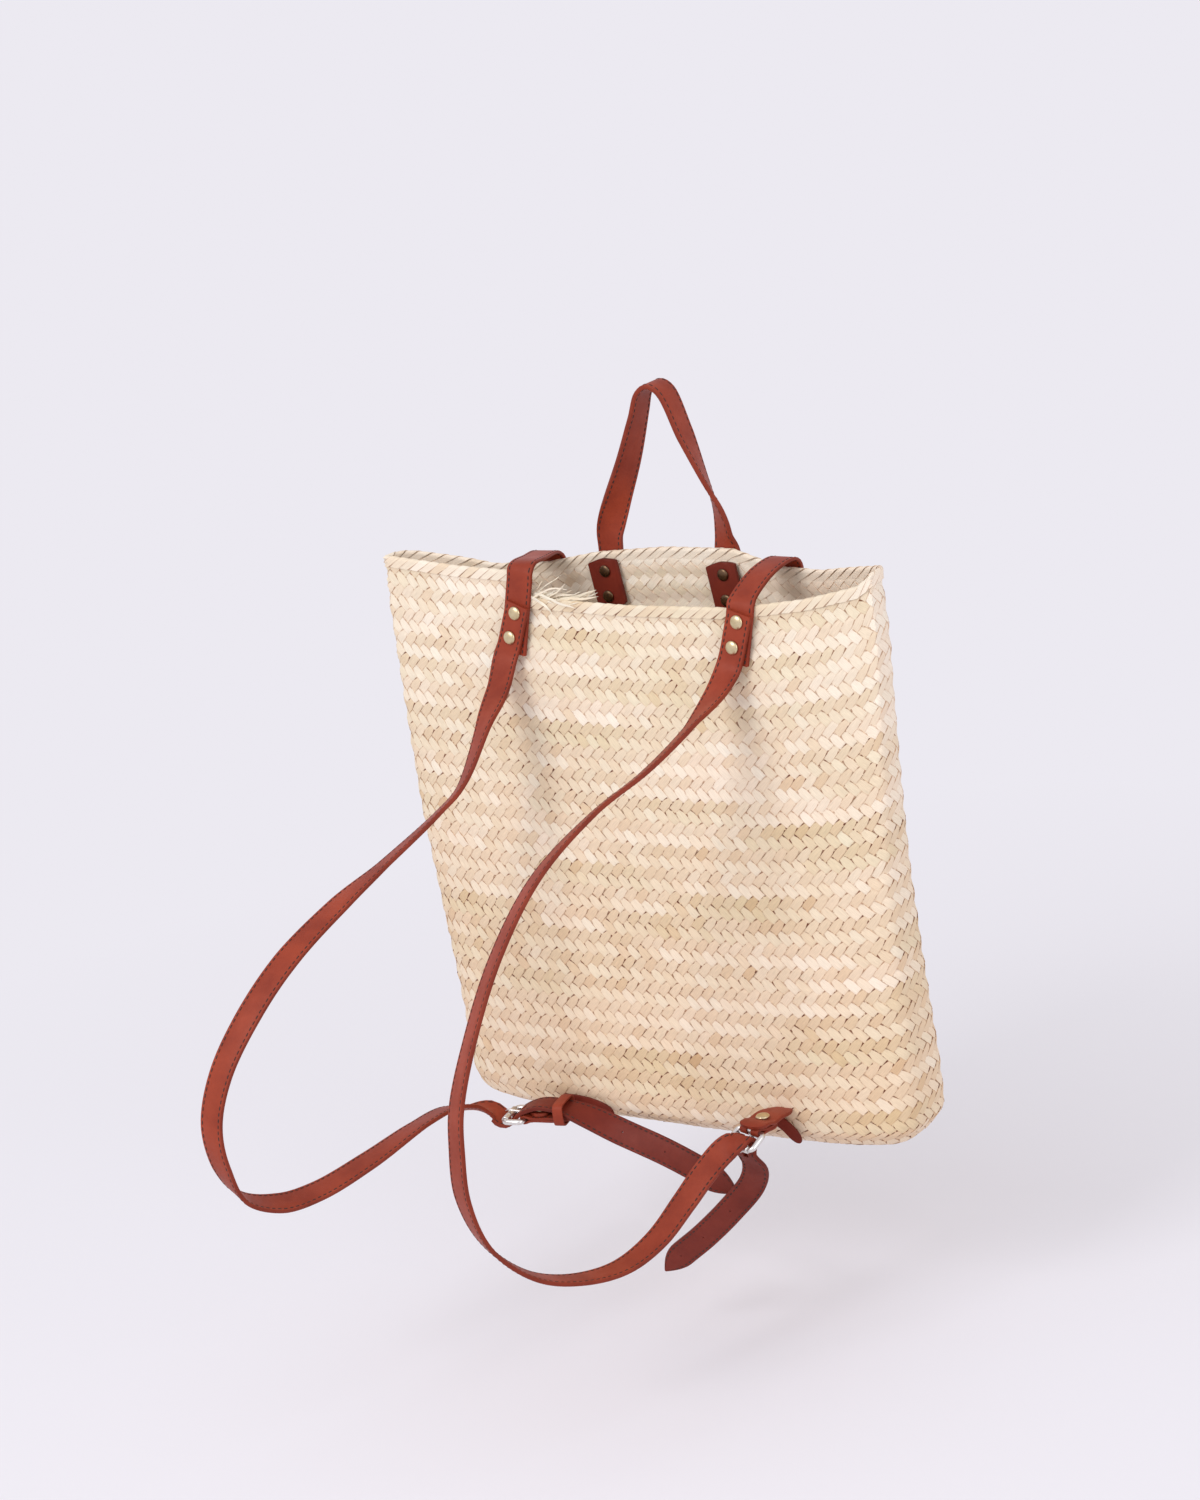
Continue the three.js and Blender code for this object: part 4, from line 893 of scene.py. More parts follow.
straight = smooth_route([((0, 0, 0), (0, 1, 0)), ((50, 0, 0), (0, 1, 0))])
print("a straight route of", round(straight["length"], 1), "mm")

# %% [markdown]
# ## A strap, cut flat
# A maker cuts a strap flat and bends it later, and so does this cell: a grid with the prong's slot cut and
# the holes punched, drawn up to its thickness and with its long edges rounded. Modelling it already bent
# would make each of these cuts hard. A groove takes the stitches, and the ends narrow to a tip.

# %% Flat strap
LANES = (-1, -0.88, -0.78, -0.68, -0.25, 0, 0.25, 0.68, 0.78, 0.88, 1)
STITCH_LANE = 0.78
HOLE_RADIUS = 0.95
EDGE_ROUND = 0.28
# Painted shade on leather: how far it takes to fade in, and start places that put all or none of a strap in
# it.
PAINTED_SHADE_FADE = 10.0
ALL_IN_PAINTED_SHADE = -PAINTED_SHADE_FADE
NO_PAINTED_SHADE = 1e4


def tip_share(distance, reach, kind):
    """Share of the full width at a distance from a strip's end."""
    u = np.clip(distance / reach, 0, 1)
    if kind == "round":
        return np.sqrt(np.clip(1 - (1 - u) ** 2, 0.02, 1))
    return lerp(0.06, 1, 1 - (1 - u) ** 1.9)


def width_share(s, length, tips):
    share = np.ones_like(s)
    for end, (reach, kind) in tips.items():
        distance = s if end == "start" else length - s
        share = np.minimum(share, tip_share(distance, reach, kind))
    return share


def stations(length, spacing, fixed, tips):
    """Cuts along a flat strap: even, closer at the tips and exact at some places."""
    places = set(np.linspace(0, length, max(2, round(length / spacing) + 1)))
    for end, (reach, _) in tips.items():
        bunch = reach * (1 - np.cos(np.linspace(0, np.pi / 2, 9)))
        places |= set(bunch if end == "start" else length - bunch)
    for place in fixed:
        places = {p for p in places if abs(p - place) > 0.7 * spacing or p in (0, length)}
    return np.array(sorted(places | set(fixed)))


def cut_flat(cuts, half, holes, slot):
    """The flat grid of a strap, with its slot cut and its holes punched."""
    bm = bmesh.new()
    bmesh.ops.create_grid(bm, x_segments=len(cuts) - 1, y_segments=len(LANES) - 1, size=0.5)
    for v in bm.verts:
        s = cuts[round((v.co.x + 0.5) * (len(cuts) - 1))]
        lane = LANES[round((v.co.y + 0.5) * (len(LANES) - 1))]
        v.co = (s, lane * half, 0)
    if slot:
        cut = [f for f in bm.faces if slot[0] < f.calc_center_median().x < slot[1]]
        cut = [f for f in cut if abs(f.calc_center_median().y) < slot[2]]
        bmesh.ops.delete(bm, geom=cut, context="FACES")
    for place in holes:
        centre = min(bm.verts, key=lambda v: (v.co - Vector((place, 0, 0))).length)
        made = bmesh.ops.bevel(bm, geom=[centre], offset=HOLE_RADIUS, affect="VERTICES", segments=3,
                               profile=0.5, material=-1)
        bmesh.ops.delete(bm, geom=made["faces"], context="FACES")
    return bm


def set_flat_uv(mesh, along, across):
    layer = mesh.uv_layers.new(name=STRIP_UV)
    corners = np.empty(len(mesh.loops), np.int32)
    mesh.loops.foreach_get("vertex_index", corners)
    layer.data.foreach_set("uv", np.stack((along, across), axis=1)[corners].astype(np.float32).ravel())


def flat_strap(length, width, thickness, spacing=3.0, tips=None, holes=(), slot=None, groove=0.22,
               painted_shade_from=NO_PAINTED_SHADE):
    """A flat strap as a mesh. From the run where its painted shade starts, its leather is painted darker, as
    in shade.
    """
    tips = tips or {}
    half = width / 2
    fixed = [*holes, *([slot[0], slot[1]] if slot else [])]
    bm = cut_flat(stations(length, spacing, fixed, tips), half, holes, slot)
    thickened(bm, bm.faces[:] + bm.edges[:], thickness)
    bmesh.ops.translate(bm, verts=bm.verts, vec=(0, 0, -thickness / 2))
    corner = [e for e in bm.edges if e.calc_face_angle(0) > 1]
    corner = [e for e in corner if min(abs(v.co.y) for v in e.verts) > 0.95 * half]
    bmesh.ops.bevel(bm, geom=corner, offset=EDGE_ROUND * thickness, affect="EDGES", segments=3,
                    profile=0.5, material=-1)
    mesh = mesh_from(bm, "strap")
    points = read_points(mesh)
    # The UV map's first coordinate holds the share of painted shade.
    set_flat_uv(mesh, np.clip((points[:, 0] - painted_shade_from) / PAINTED_SHADE_FADE, 0, 1), points[:, 1] / half)
    lane = np.abs(points[:, 1]) / half
    points[:, 2] -= np.sign(points[:, 2]) * groove * (np.abs(lane - STITCH_LANE) < 0.03)
    points[:, 1] *= width_share(points[:, 0], length, tips)
    write_points(mesh, points)
    return mesh


print("cuts along a strap of 50 mm:", len(stations(50, 3.0, [], {})))

# %% [markdown]
# ## Stitches
# The straps have a row of stitches along both edges, on both faces. Painted stitches would vanish at a
# glancing light, so each is a small ball, stretched and repeated along the flat strap, and then bent on
# the same route as the strap.

# %% Stitches
STITCH_SIZE = (1.75, 0.62, 0.38)
STITCH_PITCH = 4.6
STITCH_SINK = 0.12


def flat_stitches(start, stop, length, width, thickness, tips=None):
    bm = bmesh.new()
    bmesh.ops.create_icosphere(bm, subdivisions=1, radius=1)
    bmesh.ops.scale(bm, verts=bm.verts, vec=STITCH_SIZE)
    corner = (start, -STITCH_LANE * width / 2, -thickness / 2 + STITCH_SINK)
    bmesh.ops.translate(bm, verts=bm.verts, vec=corner)
    count = int((stop - start) / STITCH_PITCH) + 1
    rows = (2, (0, STITCH_LANE * width, 0))
    faces = (2, (0, 0, thickness - 2 * STITCH_SINK))
    made = repeated(mesh_from(bm, "stitch"), (count, (STITCH_PITCH, 0, 0)), rows, faces)
    points = read_points(made)
    points[:, 1] *= width_share(points[:, 0], length, tips or {})
    write_points(made, points)
    return made


def bent(mesh, route):
    """The same flat mesh, bent along a route and moved into the frame."""
    write_points(mesh, to_frame(bend_along(read_points(mesh), route)))
    return mesh


def laid(name, mesh, route, material):
    """A flat piece bent along a route, as an object."""
    return joined_object(name, [bent(mesh, route)], material)


def laid_pair(names, meshes, route):
    """A strap and its stitches on one route."""
    return [laid(name, mesh, route, finish) for name, mesh, finish in zip(names, meshes, (leather, thread))]


print("one stitch:", STITCH_SIZE, "mm, one every", STITCH_PITCH, "mm")

# %% [markdown]
# ## Bands over the mouth
# Two bands bridge the mouth: each starts under a shoulder strap, goes over the near rim, across the mouth
# and over the far rim. They could be draped by simulation, but a band is stiff and held at both ends, so a
# few rows that rest on the two rims give its way.

# %% Bands over the mouth
STRAP_X = 97.0
BAND_FAR_X = 104.0
BAND_WIDTH = 22.0
BAND_THICKNESS = 2.5
BAND_BOTTOM = 352.0
BAND_FAR_BOTTOM = 356.0
BAND_CROWN = {-1: 414.0, 1: 409.0}
BAND_LEAN = 0.2
STRAP_RIVETS = (382.0, 364.0)
band_offset = SEAT_GAP + BAND_THICKNESS / 2
SIDE_NAMES = {-1: "left", 1: "right"}


def rim_height(x, side):
    places, drops = zip(*(NEAR_RIM if side == NEAR else FAR_RIM))
    return BASKET_HEIGHT - np.interp(2 * x / RIM_WIDTH, places, drops)


def highest_rim(x, side):
    return max(rim_height(x + edge * BAND_WIDTH / 2, side) for edge in (-1, 0, 1))


def leaning_x(hand, z, slope):
    """Sideways place on the near panel of a strip that leans about the middle of the strap's rivets."""
    return hand * STRAP_X + slope * (z - sum(STRAP_RIVETS) / 2)


def leaning_row(hand, z, slope, offset):
    x = leaning_x(hand, z, slope)
    _, _, up, across = wall_place(x, z, NEAR)
    return off_wall(x, z, NEAR, offset), across - up * slope


def band_rows(hand):
    far_x = hand * BAND_FAR_X
    near_rim = highest_rim(leaning_x(hand, BASKET_HEIGHT, BAND_LEAN), NEAR)
    far_rim = highest_rim(far_x, FAR)
    near_top, near_across = leaning_row(hand, near_rim, BAND_LEAN, band_offset)
    far_top = off_wall(far_x, far_rim, FAR, band_offset)
    far_across = wall_place(far_x, far_rim, FAR)[3]
    level = (1, 0, 0)
    middle = ((near_top[0] + far_x) / 2, (near_top[1] + far_top[1]) / 2, BAND_CROWN[hand])
    near_heights = (BAND_BOTTOM, (BAND_BOTTOM + near_rim) / 2, near_rim - 4)
    far_heights = (far_rim - 12, (BAND_FAR_BOTTOM + far_rim) / 2 - 6, BAND_FAR_BOTTOM)
    return [
        *(leaning_row(hand, z, BAND_LEAN, band_offset) for z in near_heights),
        (near_top + (0, 0.2, 1.5), near_across),
        (near_top + (0, 4, 5), level),
        (middle, level),
        (far_top + (0, -4.5, 6), far_across),
        (far_top + (0, 1, 0), far_across),
        *((off_wall(far_x, z, FAR, band_offset), wall_place(far_x, z, FAR)[3]) for z in far_heights),
    ]


def add_band(hand):
    side = SIDE_NAMES[hand]
    route = smooth_route(band_rows(hand))
    length = route["length"]
    cut = (length, BAND_WIDTH, BAND_THICKNESS)
    meshes = (flat_strap(*cut), flat_stitches(3, length - 3, *cut))
    for piece in laid_pair((f"band_{side}", f"band_{side}_stitches"), meshes, route):
        dress(piece, "bag", "leather", f"bridge_band_{side}")
    return length


for hand in (-1, 1):
    print(f"band {SIDE_NAMES[hand]}: {add_band(hand):.0f} mm long")

# %% [markdown]
# ## Carry handle
# The handle is one strap with both feet riveted outside the far panel. Its loop folds at the rim. Two
# meshes, a fixed and a turning one, would tear apart there, so it is one mesh, in one pose. Two leather tabs
# take the rivets on the inside of the panel.

# %% Carry handle and its tabs
HANDLE_WIDTH = 21.0
HANDLE_FOOT_BOTTOM = 368.0
TAB_WIDTH = 26.0
TAB_THICKNESS = 2.5
TAB_LOW = 369.0
TAB_HIGH = 407.0
TAB_LEAN = 0.13


def handle_leg(hand, out, rise, across):
    x = lerp(HANDLE_TOP_X, hand * HANDLE_X, out)
    return (x, hinge_y, BASKET_HEIGHT + rise * HANDLE_RISE), across


def handle_foot(hand, across, at_rim):
    x = hand * HANDLE_X
    low = (off_wall(x, HANDLE_FOOT_BOTTOM, FAR, handle_offset), across)
    high = ((0.985 * x, hinge_y, 414), across)
    return [low, ((x, hinge_y - 0.2, 396), across), high, ((0.965 * x, hinge_y, 424), at_rim)]


HANDLE_ROWS = [
    *handle_foot(-1, (1, 0, 0), (1, 0.1, 0)),
    handle_leg(-1, 0.905, 0.12, (0.9, 0.35, 0)),
    handle_leg(-1, 0.79, 0.245, (0.7, 0.7, 0)),
    handle_leg(-1, 0.517, 0.522, (0.4, 0.9, 0)),
    handle_leg(-1, 0.283, 0.8, (0.1, 1, 0)),
    handle_leg(-1, 0.15, 0.957, (0, 1, 0)),
    handle_leg(1, 0, 1, (0, 1, 0)),
    handle_leg(1, 0.205, 0.957, (0, 1, 0)),
    handle_leg(1, 0.477, 0.678, (-0.1, 1, 0)),
    handle_leg(1, 0.727, 0.4, (-0.5, 0.9, 0)),
    handle_leg(1, 0.909, 0.209, (-0.76, 0.65, 0)),
    handle_leg(1, 0.95, 0.12, (-0.85, 0.53, 0)),
    *reversed(handle_foot(1, (-1, 0, 0), (-0.9, 0.42, 0))),
]
HANDLE_NODES = ("handle_loop", "handle_foot_left", "handle_foot_right")


def blend_piece(thing, body, start, end, nodes):
    """A leather piece whose place is baked into its mesh; it stands for CAD nodes, which are hidden. Its
    body, start and end are not used.
    """
    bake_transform(thing)
    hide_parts(*nodes)


def add_handle():
    route = smooth_route(HANDLE_ROWS)
    length = route["length"]
    fold = ((0, hinge_y, BASKET_HEIGHT - 6), (0, hinge_y, BASKET_HEIGHT + 10))
    cut = (length, HANDLE_WIDTH, HANDLE_THICKNESS)
    meshes = (flat_strap(*cut), flat_stitches(3, length - 3, *cut))
    for piece in laid_pair(("carry_handle", "carry_handle_stitches"), meshes, route):
        blend_piece(piece, "handle", *fold, HANDLE_NODES)
    return length


def add_tab(hand):
    depth_in = -(WALL + SEAT_GAP + TAB_THICKNESS / 2)
    heights = np.linspace(TAB_LOW, TAB_HIGH, 4)
    middle = (TAB_LOW + TAB_HIGH) / 2
    places = [(hand * HANDLE_X + TAB_LEAN * (middle - z), z) for z in heights]
    rows = [(off_wall(x, z, FAR, depth_in), wall_place(x, z, FAR)[3]) for x, z in places]
    route = smooth_route(rows)
    side = SIDE_NAMES[hand]
    tips = {"start": (5, "tab"), "end": (3, "tab")}
    # The tab in the mouth lies in shade, painted all over.
    mesh = flat_strap(route["length"], TAB_WIDTH, TAB_THICKNESS, 2.5, tips, painted_shade_from=ALL_IN_PAINTED_SHADE)
    dress(laid(f"tab_{side}", mesh, route, leather), "bag", "leather", f"handle_tab_{side}")


print(f"carry handle: {add_handle():.0f} mm long")
for hand in (-1, 1):
    add_tab(hand)

# %% [markdown]
# ## Places of the buckles
# A buckle is held at the base edge by a folded chape that turns on a rivet. All its parts and the strap
# through it have to agree, so its place is worked out once: from the pivot along to the heel bar, and from
# there to the roller. Placing each part by eye would leave gaps.

# %% Buckle places
PIVOT_Y = -72.0
HEEL_DISTANCE = 11.4
HEEL_TO_ROLLER = 15.0
ROLLER_RADIUS = 2.7
STRAP_THICKNESS = 3.0
STRAP_WIDTH = 20.0
CHAPE_THICKNESS = 4.0
CHAPE_WIDTH = 19.0
CHAPE_FOLD_RADIUS = 3.6
ANCHOR_THICKNESS = 2.5
CAP_HEIGHT = 2.2
PRONG_THICKNESS = 2.0
anchor_base = CHAPE_THICKNESS / 2 + SEAT_GAP
UP = np.array((0.0, 0.0, 1.0))


def buckle_place(pivot_x, pivot_z, turn, drop, prong_up, tongue):
    """Where a buckle sits: from the pivot along to the heel bar, and from there down to the roller."""
    turn, drop = math.radians(turn), math.radians(drop)
    along = np.array((math.cos(turn), math.sin(turn), 0))
    hang = along * math.cos(drop) - UP * math.sin(drop)
    across = np.cross(UP, along)
    pivot = np.array((pivot_x, PIVOT_Y, pivot_z))
    heel = pivot + along * HEEL_DISTANCE
    prong_side = unit(np.cross(hang, across))
    if prong_side[2] * prong_up < 0:
        prong_side, across = -prong_side, -across
    roller = heel + hang * HEEL_TO_ROLLER
    return {"pivot": pivot, "along": along, "hang": hang, "across": across, "heel": heel, "roller": roller,
            "prong_side": prong_side, "tongue": tongue}


BUCKLES = {
    -1: buckle_place(-94, 14, 194, 0, 1, 24),
    1: buckle_place(105, 31, -106, 30, -1, CHAPE_WIDTH / 2),
}


def from_roller(buckle, to_heel, to_prong):
    return buckle["roller"] - buckle["hang"] * to_heel + buckle["prong_side"] * to_prong


print("heel to heel:", round(float(np.linalg.norm(BUCKLES[-1]["heel"] - BUCKLES[1]["heel"])), 1), "mm")

# %% [markdown]
# ## Ways of the shoulder straps
# Each strap starts flat on the basket, swings out in a long loop, goes through its buckle and ends in a
# free tail. A rope simulation would let it fall straight down, while real leather keeps the bend it has
# taken, so the loop is a list of points along the strap's middle, each with a twist.

# %% Routes of the shoulder straps
STRAP_TOP = 388.0
STRAP_SEAT_LENGTH = 30.0
STRAP_LEAN = {-1: 0.36, 1: 0.3}
LOOP_TURN = math.radians(-20)
strap_offset = 2 * SEAT_GAP + BAND_THICKNESS + STRAP_THICKNESS / 2
# Points of a loop: across, out from the buckle's pivot, share of the height up to the cut, and twist.
LOOPS = {
    -1: [
        (-104, 18, 0.875, 25), (-111, 39, 0.832, 24), (-131, 86, 0.750, 14), (-144, 122, 0.697, -7),
        (-157, 173, 0.615, -20), (-169, 208, 0.516, -22), (-180, 234, 0.401, -18), (-186, 246, 0.286, -16),
        (-185, 245, 0.178, -10), (-183, 232, 0.086, 13), (-173, 207, 0.039, 24), (-163, 176, 0.030, 17),
        (-149, 134, 0.053, 10), (-138, 86, 0.082, -8), (-138, 50, 0.073, -14), (-137, 29, 0.044, -20),
    ],
    1: [
        (74, 33, 0.932, 25), (57, 76, 0.875, 26), (40, 127, 0.776, 19), (26, 166, 0.624, 16),
        (18, 200, 0.444, 13), (13, 216, 0.315, 8), (12, 221, 0.227, 5), (8, 219, 0.092, 3),
        (12, 208, -0.037, 9), (24, 182, -0.149, 5), (38, 155, -0.197, 1), (53, 120, -0.214, 4),
        (63, 88, -0.186, 11), (73, 63, -0.122, 17), (82, 44, -0.064, 22), (90, 30, -0.027, 28),
    ],
}
# Points of a tail from the pivot, and the direction across it.
TAILS = {
    -1: [
        ((15, 4, 7.5), (0.2, -1, -0.04)), ((36, 7, 1), (0, -0.9, -0.4)), ((64, 10, -10), (0, -0.6, -0.8)),
        ((99, 12, -22), (0, -0.45, -0.9)), ((128, 12, -33), (-0.1, -0.4, -0.9)),
        ((157, 13, -47), (-0.1, -0.4, -0.9)),
    ],
    1: [
        ((-4, -12, -27), (0.95, 0.1, -0.2)), ((-13, -6, -44), (0.85, 0.3, -0.4)),
        ((-37, -4, -69), (0.7, 0.3, -0.6)), ((-66, -2, -95), (0.6, 0.3, -0.8)),
        ((-90, -1, -114), (0.6, 0.3, -0.8)), ((-107, 0, -129), (0.6, 0.3, -0.8)),
    ],
}
# Where each strap hangs free below its rivets: places and the directions across.
HANGING = {
    -1: [((-104, -29, 333), (0.95, -0.25, -0.2)), ((-98, -60, 314), (0.86, -0.5, 0))],
    1: [((88, -31, 337), (0.95, -0.25, -0.05)), ((87, -64, 324), (0.82, -0.42, 0.38))],
}


def upper_rows(hand):
    low = STRAP_TOP - STRAP_SEAT_LENGTH
    seats = ((STRAP_TOP, 0), ((STRAP_TOP + low) / 2, 0), (low, 0.1), (low - 9, 2))
    seated = [leaning_row(hand, z, STRAP_LEAN[hand], strap_offset + lift) for z, lift in seats]
    return [*seated, *HANGING[hand]]


def through_rows(hand):
    """The way through the buckle: under or over the roller, and past the chape."""
    buckle = BUCKLES[hand]
    around = ROLLER_RADIUS + SEAT_GAP + STRAP_THICKNESS / 2
    if hand > 0:
        across = buckle["across"] * np.sign(buckle["across"][0])
        behind = around + PRONG_THICKNESS + 1.5
        places = ((0.5, -around - 0.3), (around + 3.6, -3.0), (around + 3.0, 2.6), (1.5, behind))
        return [(from_roller(buckle, *place), across) for place in places]
    across = buckle["across"] * -np.sign(buckle["across"][1])
    over = CHAPE_FOLD_RADIUS + SEAT_GAP + STRAP_THICKNESS / 2 + 0.4
    cap = anchor_base + ANCHOR_THICKNESS + CAP_HEIGHT + 2 * SEAT_GAP + STRAP_THICKNESS / 2
    under = -around - 0.4
    places = ((0, under), (5, under + 2.4), (10, over - 2.8), (15, over), (15 + HEEL_DISTANCE, cap))
    first = (from_roller(buckle, -12, 2.5), (0.5, -0.72, -0.45))
    second = (from_roller(buckle, -6.5, -2.6), (0.35, -0.88, -0.3))
    return [first, second, *((from_roller(buckle, *place), across) for place in places)]


def loop_rows(hand, before, after):
    pivot = BUCKLES[hand]["pivot"]
    height = before[2] - pivot[2]
    points = [np.array((x, pivot[1] - out, pivot[2] + share * height)) for x, out, share, _ in LOOPS[hand]]
    chain = [np.asarray(before), *points, np.asarray(after)]
    normal = np.array((math.cos(LOOP_TURN), math.sin(LOOP_TURN), 0))
    rows = []
    for i, (_, _, _, twist) in enumerate(LOOPS[hand]):
        along = unit(chain[i + 2] - chain[i])
        level = unit(normal - along * np.dot(normal, along))
        angle = math.radians(twist)
        rows.append((points[i], level * math.cos(angle) + np.cross(along, level) * math.sin(angle)))
    return rows


def strap_rows(hand):
    upper, through = upper_rows(hand), through_rows(hand)
    tail = [(BUCKLES[hand]["pivot"] + point, across) for point, across in TAILS[hand]]
    return [*upper, *loop_rows(hand, upper[-1][0], through[0][0]), *through, *tail]


for hand, side in SIDE_NAMES.items():
    print("strap", side, "has", len(strap_rows(hand)), "rows")

# %% [markdown]
# ## Shoulder straps
# A strap turns with its buckle about the rivet at the base edge, while its top stays on the basket. Here it
# is one piece in one pose. The tail has punched holes and a pointed tip, and the prong goes through a slot.

# %% Shoulder straps
TIP_LENGTH = 24.0
PRONG_SLOT = (19.0, 2.6)
SLOT_MIDDLE = {-1: (7, 1), 1: (6, 3.5)}
BLEND = {-1: ((-97, -27, 360), (-131, -158, 242)), 1: ((97, -27, 360), (57, -148, 289))}


def add_strap(hand):
    side = SIDE_NAMES[hand]
    rows = strap_rows(hand)
    route = smooth_route(rows)
    length = route["length"]
    holes = [nearest_run(route, rows[-k][0]) for k in (4, 3, 2)]
    middle = nearest_run(route, from_roller(BUCKLES[hand], *SLOT_MIDDLE[hand]))
    slot = (middle - PRONG_SLOT[0] / 2, middle + PRONG_SLOT[0] / 2, PRONG_SLOT[1])
    tips = {"end": (TIP_LENGTH, "point")}
    nodes = (f"strap_end_{side}", f"shoulder_strap_{side}")
    cut = (length, STRAP_WIDTH, STRAP_THICKNESS)
    # The tail, from the prong's slot on, is painted in shade.
    mesh = flat_strap(*cut, 3.0, tips, holes, slot, painted_shade_from=middle)
    meshes = (mesh, flat_stitches(4, length - 4, *cut, tips))
    for piece in laid_pair((f"strap_{side}", f"strap_{side}_stitches"), meshes, route):
        blend_piece(piece, f"strap_{side}", *BLEND[hand], nodes)
    return length, middle


for hand, side in SIDE_NAMES.items():
    length, middle = add_strap(hand)
    print(f"strap {side}: {length:.0f} mm long, with its buckle at {middle:.0f} mm")

# %% [markdown]
# ## Leather at the buckles
# A chape is a strip folded round the heel bar, with a slot for the prong. The anchor is a tongue that comes
# out of the basket above the chape, with a strip along the base edge. The keeper is a ring round the left
# strap's tail. All are flat straps again, bent on short ways with tight turns, so that they have the same
# edges and grain as the long ones.

# %% Chapes, anchors and keeper
LAYER = CHAPE_THICKNESS / 2 - 0.1
CHAPE_SLOT = (9.0, 2.4)
# The anchor in front of its rivet, out and up from it, its width, and the strip along the base edge.
ANCHOR_FRONTS = {-1: ((-8, 0), (-5, 0)), 1: ((-16.5, 1.2), (-13, 2.1), (-9, 2.1), (-5.5, 1.6), (-3, 0.4))}
ANCHOR_WIDTHS = {-1: 16, 1: 23}
WING_WIDTH = 8
KEEPER_HALVES = (10.9 + 0.8, 6.8 + 0.8)
KEEPER_CORNER = 2.6
KEEPER_WIDTH = 8
KEEPER_SKIN = 1.6
KEEPER_BACK = 18
KEEPER_LIFT = 6.8
WINGS = {-1: ((-90, 18), (-74, 18), (-60, 16), (-46, 11)), 1: ((100, 24), (106, 20), (112, 14), (117, 8))}


def add_chape(hand):
    """A strip folded round the heel bar and closed on itself, with a slot for the prong."""
    buckle, side = BUCKLES[hand], SIDE_NAMES[hand]
    end = -HEEL_DISTANCE - buckle["tongue"]
    lie = CHAPE_THICKNESS / 4
    fold = CHAPE_FOLD_RADIUS - LAYER / 2
    turns = [(fold * math.cos(a), fold * math.sin(a)) for a in np.radians((115, 75, 38, 0, -38, -75, -115))]
    upper = [(end, lie), (end / 2 - 3, lie), (-fold - 2.5, lie)]
    outline = [*upper, *turns, *[(x, -z) for x, z in upper[::-1]]]
    sideways = np.cross(UP, buckle["along"])
    rows = [(buckle["heel"] + buckle["along"] * x + UP * z, sideways) for x, z in outline]
    route = smooth_route(rows, 0.5)
    length = route["length"]
    tips = {"start": (CHAPE_WIDTH / 2, "round"), "end": (CHAPE_WIDTH / 2, "round")}
    slot = (length / 2 - CHAPE_SLOT[0], length / 2 + CHAPE_SLOT[0], CHAPE_SLOT[1])
    cut = (length, CHAPE_WIDTH, LAYER)
    mesh = flat_strap(*cut, 2.0, tips, slot=slot, groove=0.12)
    meshes = (mesh, flat_stitches(5, length / 2 - 10, *cut, tips))
    for piece in laid_pair((f"chape_{side}_fold", f"chape_{side}_stitches"), meshes, route):
        dress(piece, f"strap_{side}", "leather", f"chape_{side}")


def add_anchor(hand):
    """A neck out of the basket with a round end under the rivet, and a strip along the base edge."""
    buckle, side = BUCKLES[hand], SIDE_NAMES[hand]
    lift = UP * (anchor_base + ANCHOR_THICKNESS / 2)
    pivot = buckle["pivot"] + lift
    wall = outer_y(pivot[0], pivot[2], NEAR)
    inner = wall - PIVOT_Y + WALL + 4
    line = (*ANCHOR_FRONTS[hand], (0, 0), (10, 0), (inner, -5))
    neck = smooth_route([(pivot + (0, y, z), (1, 0, 0)) for y, z in line])
    tips = {"start": (5, "round"), "end": (24, "point")}
    neck_mesh = flat_strap(neck["length"], ANCHOR_WIDTHS[hand], ANCHOR_THICKNESS, 2.0, tips, groove=0)
    rows = [((x, outer_y(x, max(z, 20), NEAR) - 1.5, z), (0, 0.2, 1)) for x, z in WINGS[hand]]
    wing = smooth_route(rows)
    cut = (wing["length"], WING_WIDTH, ANCHOR_THICKNESS)
    # The strip along the base edge is painted in shade all over.
    wing_mesh = flat_strap(*cut, 2.5, {"end": (9, "round")}, groove=0, painted_shade_from=ALL_IN_PAINTED_SHADE)
    anchor = joined_object(f"anchor_{side}", [bent(neck_mesh, neck), bent(wing_mesh, wing)], leather)
    dress(anchor, "bag", "leather", f"anchor_tab_{side}")


def add_keeper():
    """A leather ring round the left chape and the strap's tail, closed underneath."""
    buckle = BUCKLES[-1]
    (wide, tall), corner = KEEPER_HALVES, KEEPER_CORNER
    centre = buckle["pivot"] - buckle["along"] * KEEPER_BACK + UP * (KEEPER_LIFT - anchor_base)
    sideways = np.cross(UP, buckle["along"])
    ring = [(0.15, -tall)]
    for a, (w, t) in zip((-90, 0, 90, 180), ((1, -1), (1, 1), (-1, 1), (-1, -1))):
        for b in (0, 45, 90):
            turn = math.radians(a + b)
            x = w * (wide - corner) + corner * math.cos(turn)
            ring.append((x, t * (tall - corner) + corner * math.sin(turn)))
    ring.append((-0.15, -tall))
    rows = [(centre + sideways * x + UP * z, buckle["along"]) for x, z in ring]
    route = smooth_route(rows, 0.5)
    mesh = flat_strap(route["length"], KEEPER_WIDTH, KEEPER_SKIN, 1.6, groove=0.1)
    dress(laid("keeper_ring", mesh, route, leather), "keeper", "leather", "keeper_left")


for hand in (-1, 1):
    add_chape(hand)
    add_anchor(hand)
add_keeper()
print("chapes, anchors and keeper done")

# %% [markdown]
# ## Metal
# The rivets are pale brass, those of the handle dark bronze, and the buckles nickel. A plain metal shader
# would look new and even, so noise varies colour and roughness a little, as on metal that was handled.

